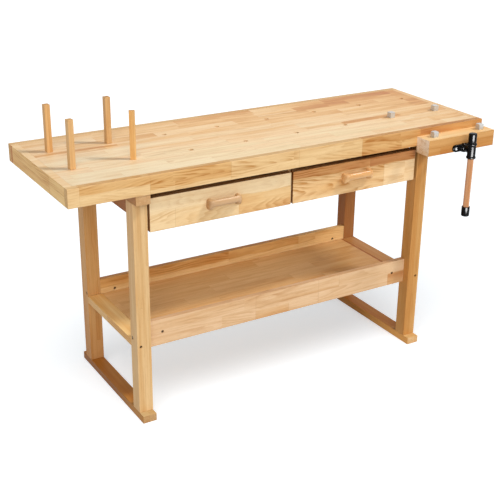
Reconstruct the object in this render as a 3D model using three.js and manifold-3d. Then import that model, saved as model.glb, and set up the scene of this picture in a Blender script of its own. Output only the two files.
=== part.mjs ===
// Woodworking bench with a front vise, two drawers, a lower shelf, pegs and bench dogs.
// Millimetres, +Z up, +X to the right, -Y towards the user.
// The origin lies on the floor, under the middle of the outer box.
import * as THREE from "three";
import { mergeVertices } from "three/addons/utils/BufferGeometryUtils.js";
import Module from "manifold-3d";

const wasm = await Module();
wasm.setup();

// Clearances and facets
const GAP = 0.3;
const SLIDE_GAP = 1;
const CUT_PAST = 1;
const HOLE_SPARE = 2;
const ROUND_SIDES = 24;
const HOLE_SIDES = 16;

// Top: a panel framed by four deeper edge pieces
const TOP_LENGTH = 1524;
const TOP_DEPTH = 500;
const TOP_HEIGHT = 821;
const EDGE_HEIGHT = 58;
const PANEL_THICK = 26;
const APRON_THICK = 22;
const END_CAP_THICK = 24;

// Dog holes: two rows along the top
const DOG_HOLE_R = 8.2;
const DOG_HOLE_COUNT = 8;
const DOG_HOLE_FIRST_X = -682;
const DOG_HOLE_PITCH = 195.5;
const DOG_ROW_FRONT_Y = -86;
const DOG_ROW_BACK_Y = 102;

// Trestles: foot, two legs, side rail and bearer on each side
const LEG_SIZE = 47;
const TRESTLE_X = 532;
const LEG_OUTER_Y = 221;
const FOOT_LENGTH = 494;
const FOOT_HEIGHT = 26;
const BEARER_HEIGHT = 30;
const SIDE_RAIL_INSET = 5;
const SIDE_RAIL_TOP = 271;
const SIDE_RAIL_HEIGHT = 24;

// Long rails and shelf
const RAIL_TOP = 323;
const RAIL_HEIGHT = 88;
const RAIL_OUTER_Y = 194;
const RAIL_THICK = 19.5;
const SHELF_THICK = 14;
const CLEAT_SIZE = 20;
const CLEAT_LENGTH = 960;

// Knock-down bolts that hold the long rails between the trestles
const BOLT_R = 3;
const BOLT_HEAD_R = 6;
const BOLT_HEAD_HEIGHT = 5;
const BOLT_SUNK = 1.5;
const BOLT_REACH = 60;
const BOLT_CLEARANCE = 0.5;
const BARREL_HOLE_R = 5;
const BARREL_FROM_LEG = 53;
const SIDE_BOLT_HOLE_R = 4.5;
const SIDE_BOLT_HOLE_DEPTH = 14;
const SIDE_BOLT_FROM_EDGE = 12.5;
const SIDE_BOLT_Z = 260;

// Drawers
const DRAWER_OUTER_X = 500;
const DRAWER_MIDDLE_GAP = 7;
const DRAWER_BOTTOM_Z = 632;
const DRAWER_TOP_Z = 739.5;
const DRAWER_FRONT_Y = -219;
const DRAWER_FRONT_THICK = 18;
const DRAWER_BACK_Y = 150;
const DRAWER_WALL = 14;
const DRAWER_BOX_OUTER_X = 495.5;
const DRAWER_BOX_INNER_X = 16;
const DRAWER_SIDE_LOW_Z = 634;
const DRAWER_SIDE_TOP_Z = 738;
const DRAWER_BACK_TOP_Z = 728;
const DRAWER_FLOOR_Z = 640;
const DRAWER_FLOOR_THICK = 6;
const DRAWER_FLOOR_GROOVE = 5;

// Drawer runners, held in grooves of the drawer sides
const RUNNER_LOW_Z = 690;
const RUNNER_HEIGHT = 12;
const RUNNER_GROOVE = 7;
const RUNNER_END_GAP = 0.5;
const RUNNER_BOARD_GAP = 1.5;
const HANGER_THICK = 12;
const HANGER_LOW_Z = 684;
const HANGER_BACK_Y = 200;

// Drawer pulls: a wooden bow with a finger gap, whose bar is set at the top of its feet
const PULL_LENGTH = 118;
const PULL_HEIGHT = 35;
const PULL_DEPTH = 27;
const PULL_CORNER = 18;
const PULL_FOOT = 19;
const PULL_BAR = 14;
const PULL_INNER_CORNER = 8;
const PULL_BAR_HEIGHT = 22;
const PULL_NOSE = 9;
const PULL_TOE = 15;
const PULL_LOW_Z = 670;

// Vise jaw
const JAW_LEFT_X = 475;
const JAW_DEPTH = 62;
const JAW_LOW_Z = 743;
const JAW_TOP_Z = 797;
const JAW_DOG_X = [522, 722];

// Vise screw, guide rods and their block under the top
const SCREW_X = 620;
const SCREW_Z = 756;
const SCREW_R = 8.5;
const SCREW_BACK_Y = -10;
const SCREW_CLEARANCE = 0.5;
const GUIDE_R = 6;
const GUIDE_SPREAD = 48;
const GUIDE_BACK_Y = -20;
const GUIDE_SOCKET = 50;
const BLOCK_HALF_LENGTH = 61;
const BLOCK_DEPTH = 60;
const BLOCK_LOW_Z = 735;
const NOTCH_HEIGHT = 5;
const NUT_PLATE_LENGTH = 70;
const NUT_PLATE_HEIGHT = 36;
const NUT_PLATE_THICK = 6;
const NUT_BOSS_R = 15;
const NUT_BOSS_LENGTH = 18;

// Vise collar, hub and handle
const COLLAR_LENGTH = 86;
const COLLAR_END_R = 12;
const COLLAR_THICK = 8;
const COLLAR_BOSS_R = 15;
const COLLAR_BOSS_LENGTH = 7;
const HUB_NECK_R = 12.5;
const HUB_R = 16;
const HUB_HEIGHT = 52;
const HUB_RIM_HEIGHT = 6;
const HUB_WAIST_R = 14.2;
const HANDLE_Y = -360;
const HANDLE_R = 10.5;
const HANDLE_CLEARANCE = 0.8;
const HANDLE_LENGTH = 292;
const CAP_R = 14;
const CAP_HEIGHT = 34;
const CAP_EDGE = 2.5;
const CAP_DEPTH = 28;

// Wooden pegs and metal dogs
const PEG_SIZE = 18;
const PEG_HEIGHT = 149;
const PEG_TURNS_DEG = { front_outer: 6, front_inner: -23, back_outer: 4, back_inner: 4 };
const SHANK_R = 7.7;
const PEG_TENON = 30;
const DOG_SIZE = 19;
const DOG_HEIGHT = 19;
const DOG_SHANK = 38;

// Places worked out from the sizes above
const HALF_LENGTH = TOP_LENGTH / 2;
const HALF_DEPTH = TOP_DEPTH / 2;
const EDGE_LOW_Z = TOP_HEIGHT - EDGE_HEIGHT;
const PANEL_LOW_Z = TOP_HEIGHT - PANEL_THICK;
const APRON_INNER_Y = HALF_DEPTH - APRON_THICK;
const LEG_OUTER_X = TRESTLE_X + LEG_SIZE / 2;
const LEG_INNER_X = TRESTLE_X - LEG_SIZE / 2;
const LEG_INNER_Y = LEG_OUTER_Y - LEG_SIZE;
const BEARER_LOW_Z = EDGE_LOW_Z - BEARER_HEIGHT;
const RAIL_INNER_Y = RAIL_OUTER_Y - RAIL_THICK;
const RAIL_MIDDLE_Y = RAIL_OUTER_Y - RAIL_THICK / 2;
const RAIL_LOW_Z = RAIL_TOP - RAIL_HEIGHT;
const BOLT_Z = RAIL_TOP - RAIL_HEIGHT / 2;
const SIDE_RAIL_INNER_X = LEG_INNER_X - SIDE_RAIL_INSET;
const JAW_BACK_Y = -HALF_DEPTH - GAP;
const JAW_FRONT_Y = JAW_BACK_Y - JAW_DEPTH;
const JAW_MIDDLE_Y = (JAW_BACK_Y + JAW_FRONT_Y) / 2;
const COLLAR_FRONT_Y = JAW_FRONT_Y - GAP - COLLAR_THICK - COLLAR_BOSS_LENGTH;
const SCREW_BORE_R = SCREW_R + SCREW_CLEARANCE;
const HUB_TOP_Z = SCREW_Z + HUB_HEIGHT / 2;
const HUB_BACK_Y = COLLAR_FRONT_Y - GAP;
const FRONT_REACH = HUB_R - HANDLE_Y;
const ORIGIN_SHIFT_Y = (FRONT_REACH - HALF_DEPTH) / 2;

// Finishes
const paleWood = new THREE.MeshStandardMaterial({ color: 0xe3bd85, roughness: 0.45 });
const honeyWood = new THREE.MeshStandardMaterial({ color: 0xd6a466, roughness: 0.45 });
const amberWood = new THREE.MeshStandardMaterial({ color: 0xc58d50, roughness: 0.5 });
const plainWood = new THREE.MeshStandardMaterial({ color: 0xd2ad7c, roughness: 0.65 });
const blackIron = new THREE.MeshStandardMaterial({ color: 0x141414, roughness: 0.3, metalness: 0.4 });
const blackCap = new THREE.MeshStandardMaterial({ color: 0x101010, roughness: 0.3 });
const brightSteel = new THREE.MeshStandardMaterial({ color: 0xb9bcc0, roughness: 0.32, metalness: 1 });

// A closed geometry as a solid that can be joined and cut
function solidOf(geometry) {
  const bare = geometry.clone();
  bare.deleteAttribute("normal");
  bare.deleteAttribute("uv");
  const merged = mergeVertices(bare);
  return new wasm.Manifold(
    new wasm.Mesh({
      numProp: 3,
      vertProperties: Float32Array.from(merged.attributes.position.array),
      triVerts: Uint32Array.from(merged.index.array),
    }),
  );
}

// A solid as a geometry again
function geometryOf(solid) {
  const mesh = solid.getMesh();
  const geometry = new THREE.BufferGeometry();
  geometry.setAttribute("position", new THREE.BufferAttribute(Float32Array.from(mesh.vertProperties), 3));
  geometry.setIndex(new THREE.BufferAttribute(Uint32Array.from(mesh.triVerts), 1));
  geometry.computeVertexNormals();
  return geometry;
}

// One geometry with others cut out of it
function drilled(geometry, cutters) {
  let solid = solidOf(geometry);
  for (const cutter of cutters) {
    solid = solid.subtract(solidOf(cutter));
  }
  return geometryOf(solid);
}

// Several overlapping geometries as one
function joined(geometries) {
  let solid = solidOf(geometries[0]);
  for (const other of geometries.slice(1)) {
    solid = solid.add(solidOf(other));
  }
  return geometryOf(solid);
}

// A box from its low and high place on each axis
function block(x, y, z) {
  const box = new THREE.BoxGeometry(x[1] - x[0], y[1] - y[0], z[1] - z[0]);
  return box.translate((x[0] + x[1]) / 2, (y[0] + y[1]) / 2, (z[0] + z[1]) / 2);
}

// Round bars along X, Y and Z, from low to high on that axis
function barX(radius, low, high, y, z, sides = ROUND_SIDES) {
  const bar = new THREE.CylinderGeometry(radius, radius, high - low, sides);
  return bar.rotateZ(Math.PI / 2).translate((low + high) / 2, y, z);
}

function barY(radius, low, high, x, z, sides = ROUND_SIDES) {
  const bar = new THREE.CylinderGeometry(radius, radius, high - low, sides);
  return bar.translate(x, (low + high) / 2, z);
}

function barZ(radius, low, high, x, y, sides = ROUND_SIDES) {
  const bar = new THREE.CylinderGeometry(radius, radius, high - low, sides);
  return bar.rotateX(Math.PI / 2).translate(x, y, (low + high) / 2);
}

// An outline of X and Z points carried along Y
function extrudeAlongY(points, y) {
  const shape = new THREE.Shape(points.map((p) => new THREE.Vector2(p[0], p[1])));
  const solid = new THREE.ExtrudeGeometry(shape, { depth: y[1] - y[0], bevelEnabled: false });
  return solid.rotateX(Math.PI / 2).translate(0, y[1], 0);
}

// An outline of Y and Z points carried along X
function extrudeAlongX(points, x) {
  const shape = new THREE.Shape(points.map((p) => new THREE.Vector2(p[0], p[1])));
  const solid = new THREE.ExtrudeGeometry(shape, { depth: x[1] - x[0], bevelEnabled: false });
  return solid.rotateX(Math.PI / 2).rotateZ(Math.PI / 2).translate(x[0], 0, 0);
}

// A pair of places on X, mirrored for the left side and kept in rising order
function mirrored(side, inner, outer) {
  return side > 0 ? [inner, outer] : [-outer, -inner];
}

function addPiece(group, name, geometry, material) {
  const mesh = new THREE.Mesh(geometry, material);
  mesh.name = name;
  group.add(mesh);
  return mesh;
}

const dogHoleX = (index) => DOG_HOLE_FIRST_X + index * DOG_HOLE_PITCH;

function makeTop() {
  const top = new THREE.Group();
  const holes = [];
  for (const y of [DOG_ROW_FRONT_Y, DOG_ROW_BACK_Y]) {
    for (let i = 0; i < DOG_HOLE_COUNT; i += 1) {
      holes.push(barZ(DOG_HOLE_R, PANEL_LOW_Z - CUT_PAST, TOP_HEIGHT + CUT_PAST, dogHoleX(i), y, HOLE_SIDES));
    }
  }
  const panelX = HALF_LENGTH - END_CAP_THICK - GAP;
  const panelY = APRON_INNER_Y - GAP;
  const panel = block([-panelX, panelX], [-panelY, panelY], [PANEL_LOW_Z, TOP_HEIGHT]);
  addPiece(top, "top_panel", drilled(panel, holes), paleWood);

  const notchLeft = SCREW_X - BLOCK_HALF_LENGTH;
  const notchRight = SCREW_X + BLOCK_HALF_LENGTH;
  const frontOutline = [
    [-HALF_LENGTH, EDGE_LOW_Z],
    [notchLeft, EDGE_LOW_Z],
    [notchLeft, EDGE_LOW_Z + NOTCH_HEIGHT],
    [notchRight, EDGE_LOW_Z + NOTCH_HEIGHT],
    [notchRight, EDGE_LOW_Z],
    [HALF_LENGTH, EDGE_LOW_Z],
    [HALF_LENGTH, TOP_HEIGHT],
    [-HALF_LENGTH, TOP_HEIGHT],
  ];
  addPiece(top, "front_apron", extrudeAlongY(frontOutline, [-HALF_DEPTH, -APRON_INNER_Y]), paleWood);
  const backApron = block([-HALF_LENGTH, HALF_LENGTH], [APRON_INNER_Y, HALF_DEPTH], [EDGE_LOW_Z, TOP_HEIGHT]);
  addPiece(top, "back_apron", backApron, paleWood);
  for (const [name, side] of [["left", -1], ["right", 1]]) {
    const x = mirrored(side, HALF_LENGTH - END_CAP_THICK, HALF_LENGTH);
    addPiece(top, `${name}_end_cap`, block(x, [-panelY, panelY], [EDGE_LOW_Z, TOP_HEIGHT]), paleWood);
  }
  return top;
}

// Room for a rail bolt and its sunk head, along X through a leg and into the end of a long rail
function railBoltRoom(side, y) {
  const head = mirrored(side, LEG_OUTER_X - BOLT_SUNK - BOLT_HEAD_HEIGHT - GAP, LEG_OUTER_X + CUT_PAST);
  const shaft = mirrored(side, LEG_INNER_X - BOLT_REACH - GAP, LEG_OUTER_X + CUT_PAST);
  return [
    barX(BOLT_HEAD_R + BOLT_CLEARANCE, head[0], head[1], y, BOLT_Z, HOLE_SIDES),
    barX(BOLT_R + BOLT_CLEARANCE, shaft[0], shaft[1], y, BOLT_Z, HOLE_SIDES),
  ];
}

function makeTrestle(name, side) {
  const trestle = new THREE.Group();
  const x = mirrored(side, LEG_INNER_X, LEG_OUTER_X);
  const foot = block(x, [-FOOT_LENGTH / 2, FOOT_LENGTH / 2], [0, FOOT_HEIGHT]);
  addPiece(trestle, `${name}_foot`, foot, honeyWood);

  for (const [place, front] of [["front", -1], ["back", 1]]) {
    const y = front > 0 ? [LEG_INNER_Y, LEG_OUTER_Y] : [-LEG_OUTER_Y, -LEG_INNER_Y];
    const leg = block(x, y, [FOOT_HEIGHT + GAP, BEARER_LOW_Z - GAP]);
    const faceY = front * LEG_OUTER_Y;
    const depthY = front * (LEG_OUTER_Y - SIDE_BOLT_HOLE_DEPTH);
    const sideBoltX = side * (LEG_OUTER_X - SIDE_BOLT_FROM_EDGE);
    const sideBolt = barY(
      SIDE_BOLT_HOLE_R,
      Math.min(faceY + front, depthY),
      Math.max(faceY + front, depthY),
      sideBoltX,
      SIDE_BOLT_Z,
      HOLE_SIDES,
    );
    const cuts = [sideBolt, ...railBoltRoom(side, front * RAIL_MIDDLE_Y)];
    addPiece(trestle, `${name}_${place}_leg`, drilled(leg, cuts), honeyWood);
  }

  const railX = mirrored(side, SIDE_RAIL_INNER_X, LEG_OUTER_X);
  const railY = LEG_INNER_Y - GAP;
  const rail = block(railX, [-railY, railY], [SIDE_RAIL_TOP - SIDE_RAIL_HEIGHT, SIDE_RAIL_TOP]);
  addPiece(trestle, `${name}_side_rail`, rail, honeyWood);

  // The bearer carries the edge pieces on its ends and the panel on its raised middle
  const bearerEnd = FOOT_LENGTH / 2;
  const raisedEnd = APRON_INNER_Y - 2 * GAP;
  const bearerOutline = [
    [-bearerEnd, BEARER_LOW_Z],
    [bearerEnd, BEARER_LOW_Z],
    [bearerEnd, EDGE_LOW_Z - GAP],
    [raisedEnd, EDGE_LOW_Z - GAP],
    [raisedEnd, PANEL_LOW_Z - GAP],
    [-raisedEnd, PANEL_LOW_Z - GAP],
    [-raisedEnd, EDGE_LOW_Z - GAP],
    [-bearerEnd, EDGE_LOW_Z - GAP],
  ];
  addPiece(trestle, `${name}_bearer`, extrudeAlongX(bearerOutline, x), honeyWood);
  return trestle;
}

function makeLowerFrame() {
  const frame = new THREE.Group();
  const railEnd = LEG_INNER_X - GAP;
  for (const [place, front] of [["front", -1], ["back", 1]]) {
    const y = front > 0 ? [RAIL_INNER_Y, RAIL_OUTER_Y] : [-RAIL_OUTER_Y, -RAIL_INNER_Y];
    const middleY = front * RAIL_MIDDLE_Y;
    const cuts = [];
    for (const [name, side] of [["left", -1], ["right", 1]]) {
      const barrelX = side * (LEG_INNER_X - BARREL_FROM_LEG);
      cuts.push(railBoltRoom(side, middleY)[1]);
      cuts.push(barY(BARREL_HOLE_R, y[0] - CUT_PAST, y[1] + CUT_PAST, barrelX, BOLT_Z, HOLE_SIDES));

      const headX = mirrored(side, LEG_OUTER_X - BOLT_SUNK - BOLT_HEAD_HEIGHT, LEG_OUTER_X - BOLT_SUNK);
      const shaftX = mirrored(side, LEG_INNER_X - BOLT_REACH, LEG_OUTER_X - BOLT_SUNK - CUT_PAST);
      const bolt = joined([
        barX(BOLT_HEAD_R, headX[0], headX[1], middleY, BOLT_Z, HOLE_SIDES),
        barX(BOLT_R, shaftX[0], shaftX[1], middleY, BOLT_Z, HOLE_SIDES),
      ]);
      addPiece(frame, `${name}_${place}_rail_bolt`, bolt, brightSteel);
    }
    const rail = block([-railEnd, railEnd], y, [RAIL_LOW_Z, RAIL_TOP]);
    addPiece(frame, `${place}_rail`, drilled(rail, cuts), honeyWood);

    const cleatY = RAIL_INNER_Y - GAP;
    const cleatSpan = front > 0 ? [cleatY - CLEAT_SIZE, cleatY] : [-cleatY, CLEAT_SIZE - cleatY];
    const cleatTop = SIDE_RAIL_TOP - SHELF_THICK - GAP;
    const cleatX = [-CLEAT_LENGTH / 2, CLEAT_LENGTH / 2];
    const cleat = block(cleatX, cleatSpan, [cleatTop - CLEAT_SIZE, cleatTop]);
    addPiece(frame, `${place}_shelf_cleat`, cleat, plainWood);
  }
  const shelfX = SIDE_RAIL_INNER_X - GAP;
  const shelfY = LEG_INNER_Y - GAP;
  const shelf = block([-shelfX, shelfX], [-shelfY, shelfY], [SIDE_RAIL_TOP - SHELF_THICK, SIDE_RAIL_TOP]);
  addPiece(frame, "shelf_panel", shelf, amberWood);
  return frame;
}

// A drawer side: the outline has a runner groove outside and a groove for the floor inside
function drawerSide(outerX, inward) {
  const place = (depth) => outerX + inward * depth;
  const grooveLow = RUNNER_LOW_Z - SLIDE_GAP;
  const grooveTop = RUNNER_LOW_Z + RUNNER_HEIGHT + SLIDE_GAP;
  const floorTop = DRAWER_FLOOR_Z + DRAWER_FLOOR_THICK;
  const outline = [
    [place(0), DRAWER_SIDE_LOW_Z],
    [place(DRAWER_WALL), DRAWER_SIDE_LOW_Z],
    [place(DRAWER_WALL), DRAWER_FLOOR_Z],
    [place(DRAWER_WALL - DRAWER_FLOOR_GROOVE), DRAWER_FLOOR_Z],
    [place(DRAWER_WALL - DRAWER_FLOOR_GROOVE), floorTop],
    [place(DRAWER_WALL), floorTop],
    [place(DRAWER_WALL), DRAWER_SIDE_TOP_Z],
    [place(0), DRAWER_SIDE_TOP_Z],
    [place(0), grooveTop],
    [place(RUNNER_GROOVE), grooveTop],
    [place(RUNNER_GROOVE), grooveLow],
    [place(0), grooveLow],
  ];
  const frontY = DRAWER_FRONT_Y + DRAWER_FRONT_THICK + GAP;
  return extrudeAlongY(outline, [frontY, DRAWER_BACK_Y]);
}

// A bow-shaped pull: its outline lies flat in X and Y, and its feet stand on the drawer front.
// Seen from its end, the feet slope back from the bar to their toes.
function pullGeometry() {
  const half = PULL_LENGTH / 2;
  const gapHalf = half - PULL_FOOT;
  const gapDepth = PULL_DEPTH - PULL_BAR;
  const outerX = half - PULL_CORNER;
  const outerY = PULL_CORNER - PULL_DEPTH;
  const innerX = gapHalf - PULL_INNER_CORNER;
  const innerY = PULL_INNER_CORNER - gapDepth;
  const shape = new THREE.Shape();
  shape.moveTo(-half, 0);
  shape.lineTo(-half, outerY);
  shape.absarc(-outerX, outerY, PULL_CORNER, Math.PI, 1.5 * Math.PI, false);
  shape.lineTo(outerX, -PULL_DEPTH);
  shape.absarc(outerX, outerY, PULL_CORNER, 1.5 * Math.PI, 2 * Math.PI, false);
  shape.lineTo(half, 0);
  shape.lineTo(gapHalf, 0);
  shape.lineTo(gapHalf, innerY);
  shape.absarc(innerX, innerY, PULL_INNER_CORNER, 0, -Math.PI / 2, true);
  shape.lineTo(-innerX, -gapDepth);
  shape.absarc(-innerX, innerY, PULL_INNER_CORNER, -Math.PI / 2, -Math.PI, true);
  shape.lineTo(-gapHalf, 0);
  const options = { depth: PULL_HEIGHT, bevelEnabled: false, curveSegments: 6 };
  const bow = new THREE.ExtrudeGeometry(shape, options);

  const barLow = PULL_HEIGHT - PULL_BAR_HEIGHT;
  const endProfile = [
    [CUT_PAST, -CUT_PAST],
    [CUT_PAST, PULL_HEIGHT + CUT_PAST],
    [PULL_NOSE - PULL_DEPTH, PULL_HEIGHT + CUT_PAST],
    [PULL_NOSE - PULL_DEPTH, PULL_HEIGHT],
    [-PULL_DEPTH - CUT_PAST, PULL_HEIGHT - PULL_NOSE],
    [-PULL_DEPTH - CUT_PAST, barLow],
    [-PULL_TOE, -CUT_PAST],
  ];
  const ends = extrudeAlongX(endProfile, [-half - CUT_PAST, half + CUT_PAST]);
  const underBar = block([-gapHalf, gapHalf], [-PULL_DEPTH - CUT_PAST, CUT_PAST], [-CUT_PAST, barLow]);
  const solid = solidOf(bow).intersect(solidOf(ends)).subtract(solidOf(underBar));
  return geometryOf(solid);
}

function makeDrawer(name, side) {
  const drawer = new THREE.Group();
  const frontX = mirrored(side, DRAWER_MIDDLE_GAP / 2, DRAWER_OUTER_X);
  const frontBackY = DRAWER_FRONT_Y + DRAWER_FRONT_THICK;
  const front = block(frontX, [DRAWER_FRONT_Y, frontBackY], [DRAWER_BOTTOM_Z, DRAWER_TOP_Z]);
  addPiece(drawer, `${name}_drawer_front`, front, paleWood);
  addPiece(drawer, `${name}_drawer_outer_side`, drawerSide(side * DRAWER_BOX_OUTER_X, -side), plainWood);
  addPiece(drawer, `${name}_drawer_inner_side`, drawerSide(side * DRAWER_BOX_INNER_X, side), plainWood);

  const roomInner = DRAWER_BOX_INNER_X + DRAWER_WALL;
  const roomOuter = DRAWER_BOX_OUTER_X - DRAWER_WALL;
  const backX = mirrored(side, roomInner + GAP, roomOuter - GAP);
  const floorTop = DRAWER_FLOOR_Z + DRAWER_FLOOR_THICK;
  const back = block(backX, [DRAWER_BACK_Y - DRAWER_WALL, DRAWER_BACK_Y], [floorTop, DRAWER_BACK_TOP_Z]);
  addPiece(drawer, `${name}_drawer_back`, back, plainWood);

  const floorReach = DRAWER_FLOOR_GROOVE - GAP;
  const floorX = mirrored(side, roomInner - floorReach, roomOuter + floorReach);
  const floorZ = [DRAWER_FLOOR_Z + GAP, floorTop - GAP];
  const floor = block(floorX, [frontBackY + GAP, DRAWER_BACK_Y], floorZ);
  addPiece(drawer, `${name}_drawer_floor`, floor, plainWood);

  const pull = addPiece(drawer, `${name}_drawer_pull`, pullGeometry(), paleWood);
  pull.position.set((frontX[0] + frontX[1]) / 2, DRAWER_FRONT_Y - GAP, PULL_LOW_Z);
  return drawer;
}

function makeRunners() {
  const runners = new THREE.Group();
  const frontY = DRAWER_FRONT_Y + DRAWER_FRONT_THICK + SLIDE_GAP;
  const grooveOuter = DRAWER_BOX_OUTER_X - RUNNER_GROOVE + RUNNER_END_GAP;
  const grooveInner = DRAWER_BOX_INNER_X + RUNNER_GROOVE - RUNNER_END_GAP;
  const runnerTop = RUNNER_LOW_Z + RUNNER_HEIGHT;
  // A side runner is a tongue on a board that stands between the legs and the drawer
  const boardInner = DRAWER_BOX_OUTER_X + RUNNER_BOARD_GAP;
  const boardOuter = LEG_INNER_X - GAP;
  const boardTop = BEARER_LOW_Z - GAP;
  const runnerOutline = [
    [grooveOuter, RUNNER_LOW_Z],
    [boardOuter, RUNNER_LOW_Z],
    [boardOuter, boardTop],
    [boardInner, boardTop],
    [boardInner, runnerTop],
    [grooveOuter, runnerTop],
  ];
  for (const [name, side] of [["left", -1], ["right", 1]]) {
    const outline = runnerOutline.map(([x, z]) => [side * x, z]);
    addPiece(runners, `${name}_runner`, extrudeAlongY(outline, [frontY, LEG_OUTER_Y]), plainWood);
  }
  // The middle hanger is a board under the panel with a tongue on each side
  const web = HANGER_THICK / 2;
  const hangerTop = PANEL_LOW_Z - GAP;
  const hangerOutline = [
    [-web, HANGER_LOW_Z],
    [web, HANGER_LOW_Z],
    [web, RUNNER_LOW_Z],
    [grooveInner, RUNNER_LOW_Z],
    [grooveInner, runnerTop],
    [web, runnerTop],
    [web, hangerTop],
    [-web, hangerTop],
    [-web, runnerTop],
    [-grooveInner, runnerTop],
    [-grooveInner, RUNNER_LOW_Z],
    [-web, RUNNER_LOW_Z],
  ];
  addPiece(runners, "middle_hanger", extrudeAlongY(hangerOutline, [frontY, HANGER_BACK_Y]), plainWood);
  return runners;
}

// A hole along Y at the height of the vise screw, cut past both faces
function viseHole(radius, low, high, x) {
  return barY(radius, low - CUT_PAST, high + CUT_PAST, x, SCREW_Z);
}

function makeVise() {
  const vise = new THREE.Group();
  const guideX = [["left", SCREW_X - GUIDE_SPREAD], ["right", SCREW_X + GUIDE_SPREAD]];
  const jawCuts = [viseHole(SCREW_BORE_R, JAW_FRONT_Y, JAW_BACK_Y, SCREW_X)];
  const dogHoleLow = JAW_TOP_Z - DOG_SHANK - HOLE_SPARE;
  for (const x of JAW_DOG_X) {
    jawCuts.push(barZ(DOG_HOLE_R, dogHoleLow, JAW_TOP_Z + CUT_PAST, x, JAW_MIDDLE_Y, HOLE_SIDES));
  }
  const guideFrontY = JAW_BACK_Y - GUIDE_SOCKET;
  for (const [, x] of guideX) {
    jawCuts.push(barY(GUIDE_R + GAP, guideFrontY - GAP, JAW_BACK_Y + CUT_PAST, x, SCREW_Z));
  }
  const jaw = block([JAW_LEFT_X, HALF_LENGTH], [JAW_FRONT_Y, JAW_BACK_Y], [JAW_LOW_Z, JAW_TOP_Z]);
  addPiece(vise, "vise_jaw", drilled(jaw, jawCuts), honeyWood);
  for (const [name, x] of guideX) {
    addPiece(vise, `${name}_guide_rod`, barY(GUIDE_R, guideFrontY, GUIDE_BACK_Y, x, SCREW_Z), brightSteel);
  }

  // Collar: a plate with two round ends for its screws, and a boss round the screw
  const plateBackY = JAW_FRONT_Y - GAP;
  const plateFrontY = plateBackY - COLLAR_THICK;
  const endX = COLLAR_LENGTH / 2 - COLLAR_END_R;
  const collarX = [SCREW_X - endX, SCREW_X + endX];
  const collarZ = [SCREW_Z - COLLAR_END_R, SCREW_Z + COLLAR_END_R];
  const collar = joined([
    block(collarX, [plateFrontY, plateBackY], collarZ),
    barY(COLLAR_END_R, plateFrontY, plateBackY, SCREW_X - endX, SCREW_Z),
    barY(COLLAR_END_R, plateFrontY, plateBackY, SCREW_X + endX, SCREW_Z),
    barY(COLLAR_BOSS_R, COLLAR_FRONT_Y, plateFrontY + CUT_PAST, SCREW_X, SCREW_Z),
  ]);
  const collarBore = viseHole(SCREW_BORE_R, COLLAR_FRONT_Y, plateBackY, SCREW_X);
  addPiece(vise, "screw_collar", drilled(collar, [collarBore]), blackIron);

  addPiece(vise, "vise_screw", barY(SCREW_R, HUB_BACK_Y + GAP, SCREW_BACK_Y, SCREW_X, SCREW_Z), brightSteel);

  // Hub: an upright sleeve with a rim at each end, on a neck in line with the screw
  const rimZ = HUB_HEIGHT / 2 - HUB_RIM_HEIGHT;
  const hub = joined([
    barZ(HUB_WAIST_R, SCREW_Z - rimZ - CUT_PAST, SCREW_Z + rimZ + CUT_PAST, SCREW_X, HANDLE_Y),
    barZ(HUB_R, SCREW_Z - HUB_HEIGHT / 2, SCREW_Z - rimZ, SCREW_X, HANDLE_Y),
    barZ(HUB_R, SCREW_Z + rimZ, HUB_TOP_Z, SCREW_X, HANDLE_Y),
    barY(HUB_NECK_R, HANDLE_Y, HUB_BACK_Y, SCREW_X, SCREW_Z),
  ]);
  const handleBore = barZ(
    HANDLE_R + HANDLE_CLEARANCE,
    SCREW_Z - HUB_HEIGHT / 2 - CUT_PAST,
    HUB_TOP_Z + CUT_PAST,
    SCREW_X,
    HANDLE_Y,
  );
  addPiece(vise, "screw_hub", drilled(hub, [handleBore]), blackIron);

  // Handle: a dowel with a cap on each end, hanging on its top cap
  const handleTop = HUB_TOP_Z + GAP + CAP_HEIGHT;
  const handleLow = handleTop - HANDLE_LENGTH;
  const dowelTop = HUB_TOP_Z + GAP + CAP_DEPTH - GAP;
  const dowelLow = handleLow + CAP_HEIGHT - CAP_DEPTH + GAP;
  addPiece(vise, "handle_dowel", barZ(HANDLE_R, dowelLow, dowelTop, SCREW_X, HANDLE_Y), honeyWood);
  for (const [name, up] of [["top", 1], ["bottom", -1]]) {
    const profile = [
      [0, CAP_DEPTH],
      [HANDLE_R + GAP, CAP_DEPTH],
      [HANDLE_R + GAP, 0],
      [CAP_R, 0],
      [CAP_R, CAP_HEIGHT - CAP_EDGE],
      [CAP_R - CAP_EDGE, CAP_HEIGHT],
      [0, CAP_HEIGHT],
    ].map((p) => new THREE.Vector2(p[0], p[1]));
    const cap = addPiece(vise, `handle_${name}_cap`, new THREE.LatheGeometry(profile, ROUND_SIDES), blackCap);
    cap.rotation.x = (up * Math.PI) / 2;
    cap.position.set(SCREW_X, HANDLE_Y, up > 0 ? HUB_TOP_Z + GAP : handleLow + CAP_HEIGHT);
  }

  // Guide block under the panel, behind the front edge, with the nut on its back face
  const blockFrontY = -APRON_INNER_Y + GAP;
  const blockBackY = blockFrontY + BLOCK_DEPTH;
  const blockX = [SCREW_X - BLOCK_HALF_LENGTH, SCREW_X + BLOCK_HALF_LENGTH];
  const guideBlock = block(blockX, [blockFrontY, blockBackY], [BLOCK_LOW_Z, PANEL_LOW_Z - GAP]);
  const blockCuts = [viseHole(SCREW_BORE_R, blockFrontY, blockBackY, SCREW_X)];
  for (const [, x] of guideX) {
    blockCuts.push(viseHole(GUIDE_R + SCREW_CLEARANCE, blockFrontY, blockBackY, x));
  }
  addPiece(vise, "guide_block", drilled(guideBlock, blockCuts), plainWood);

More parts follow.
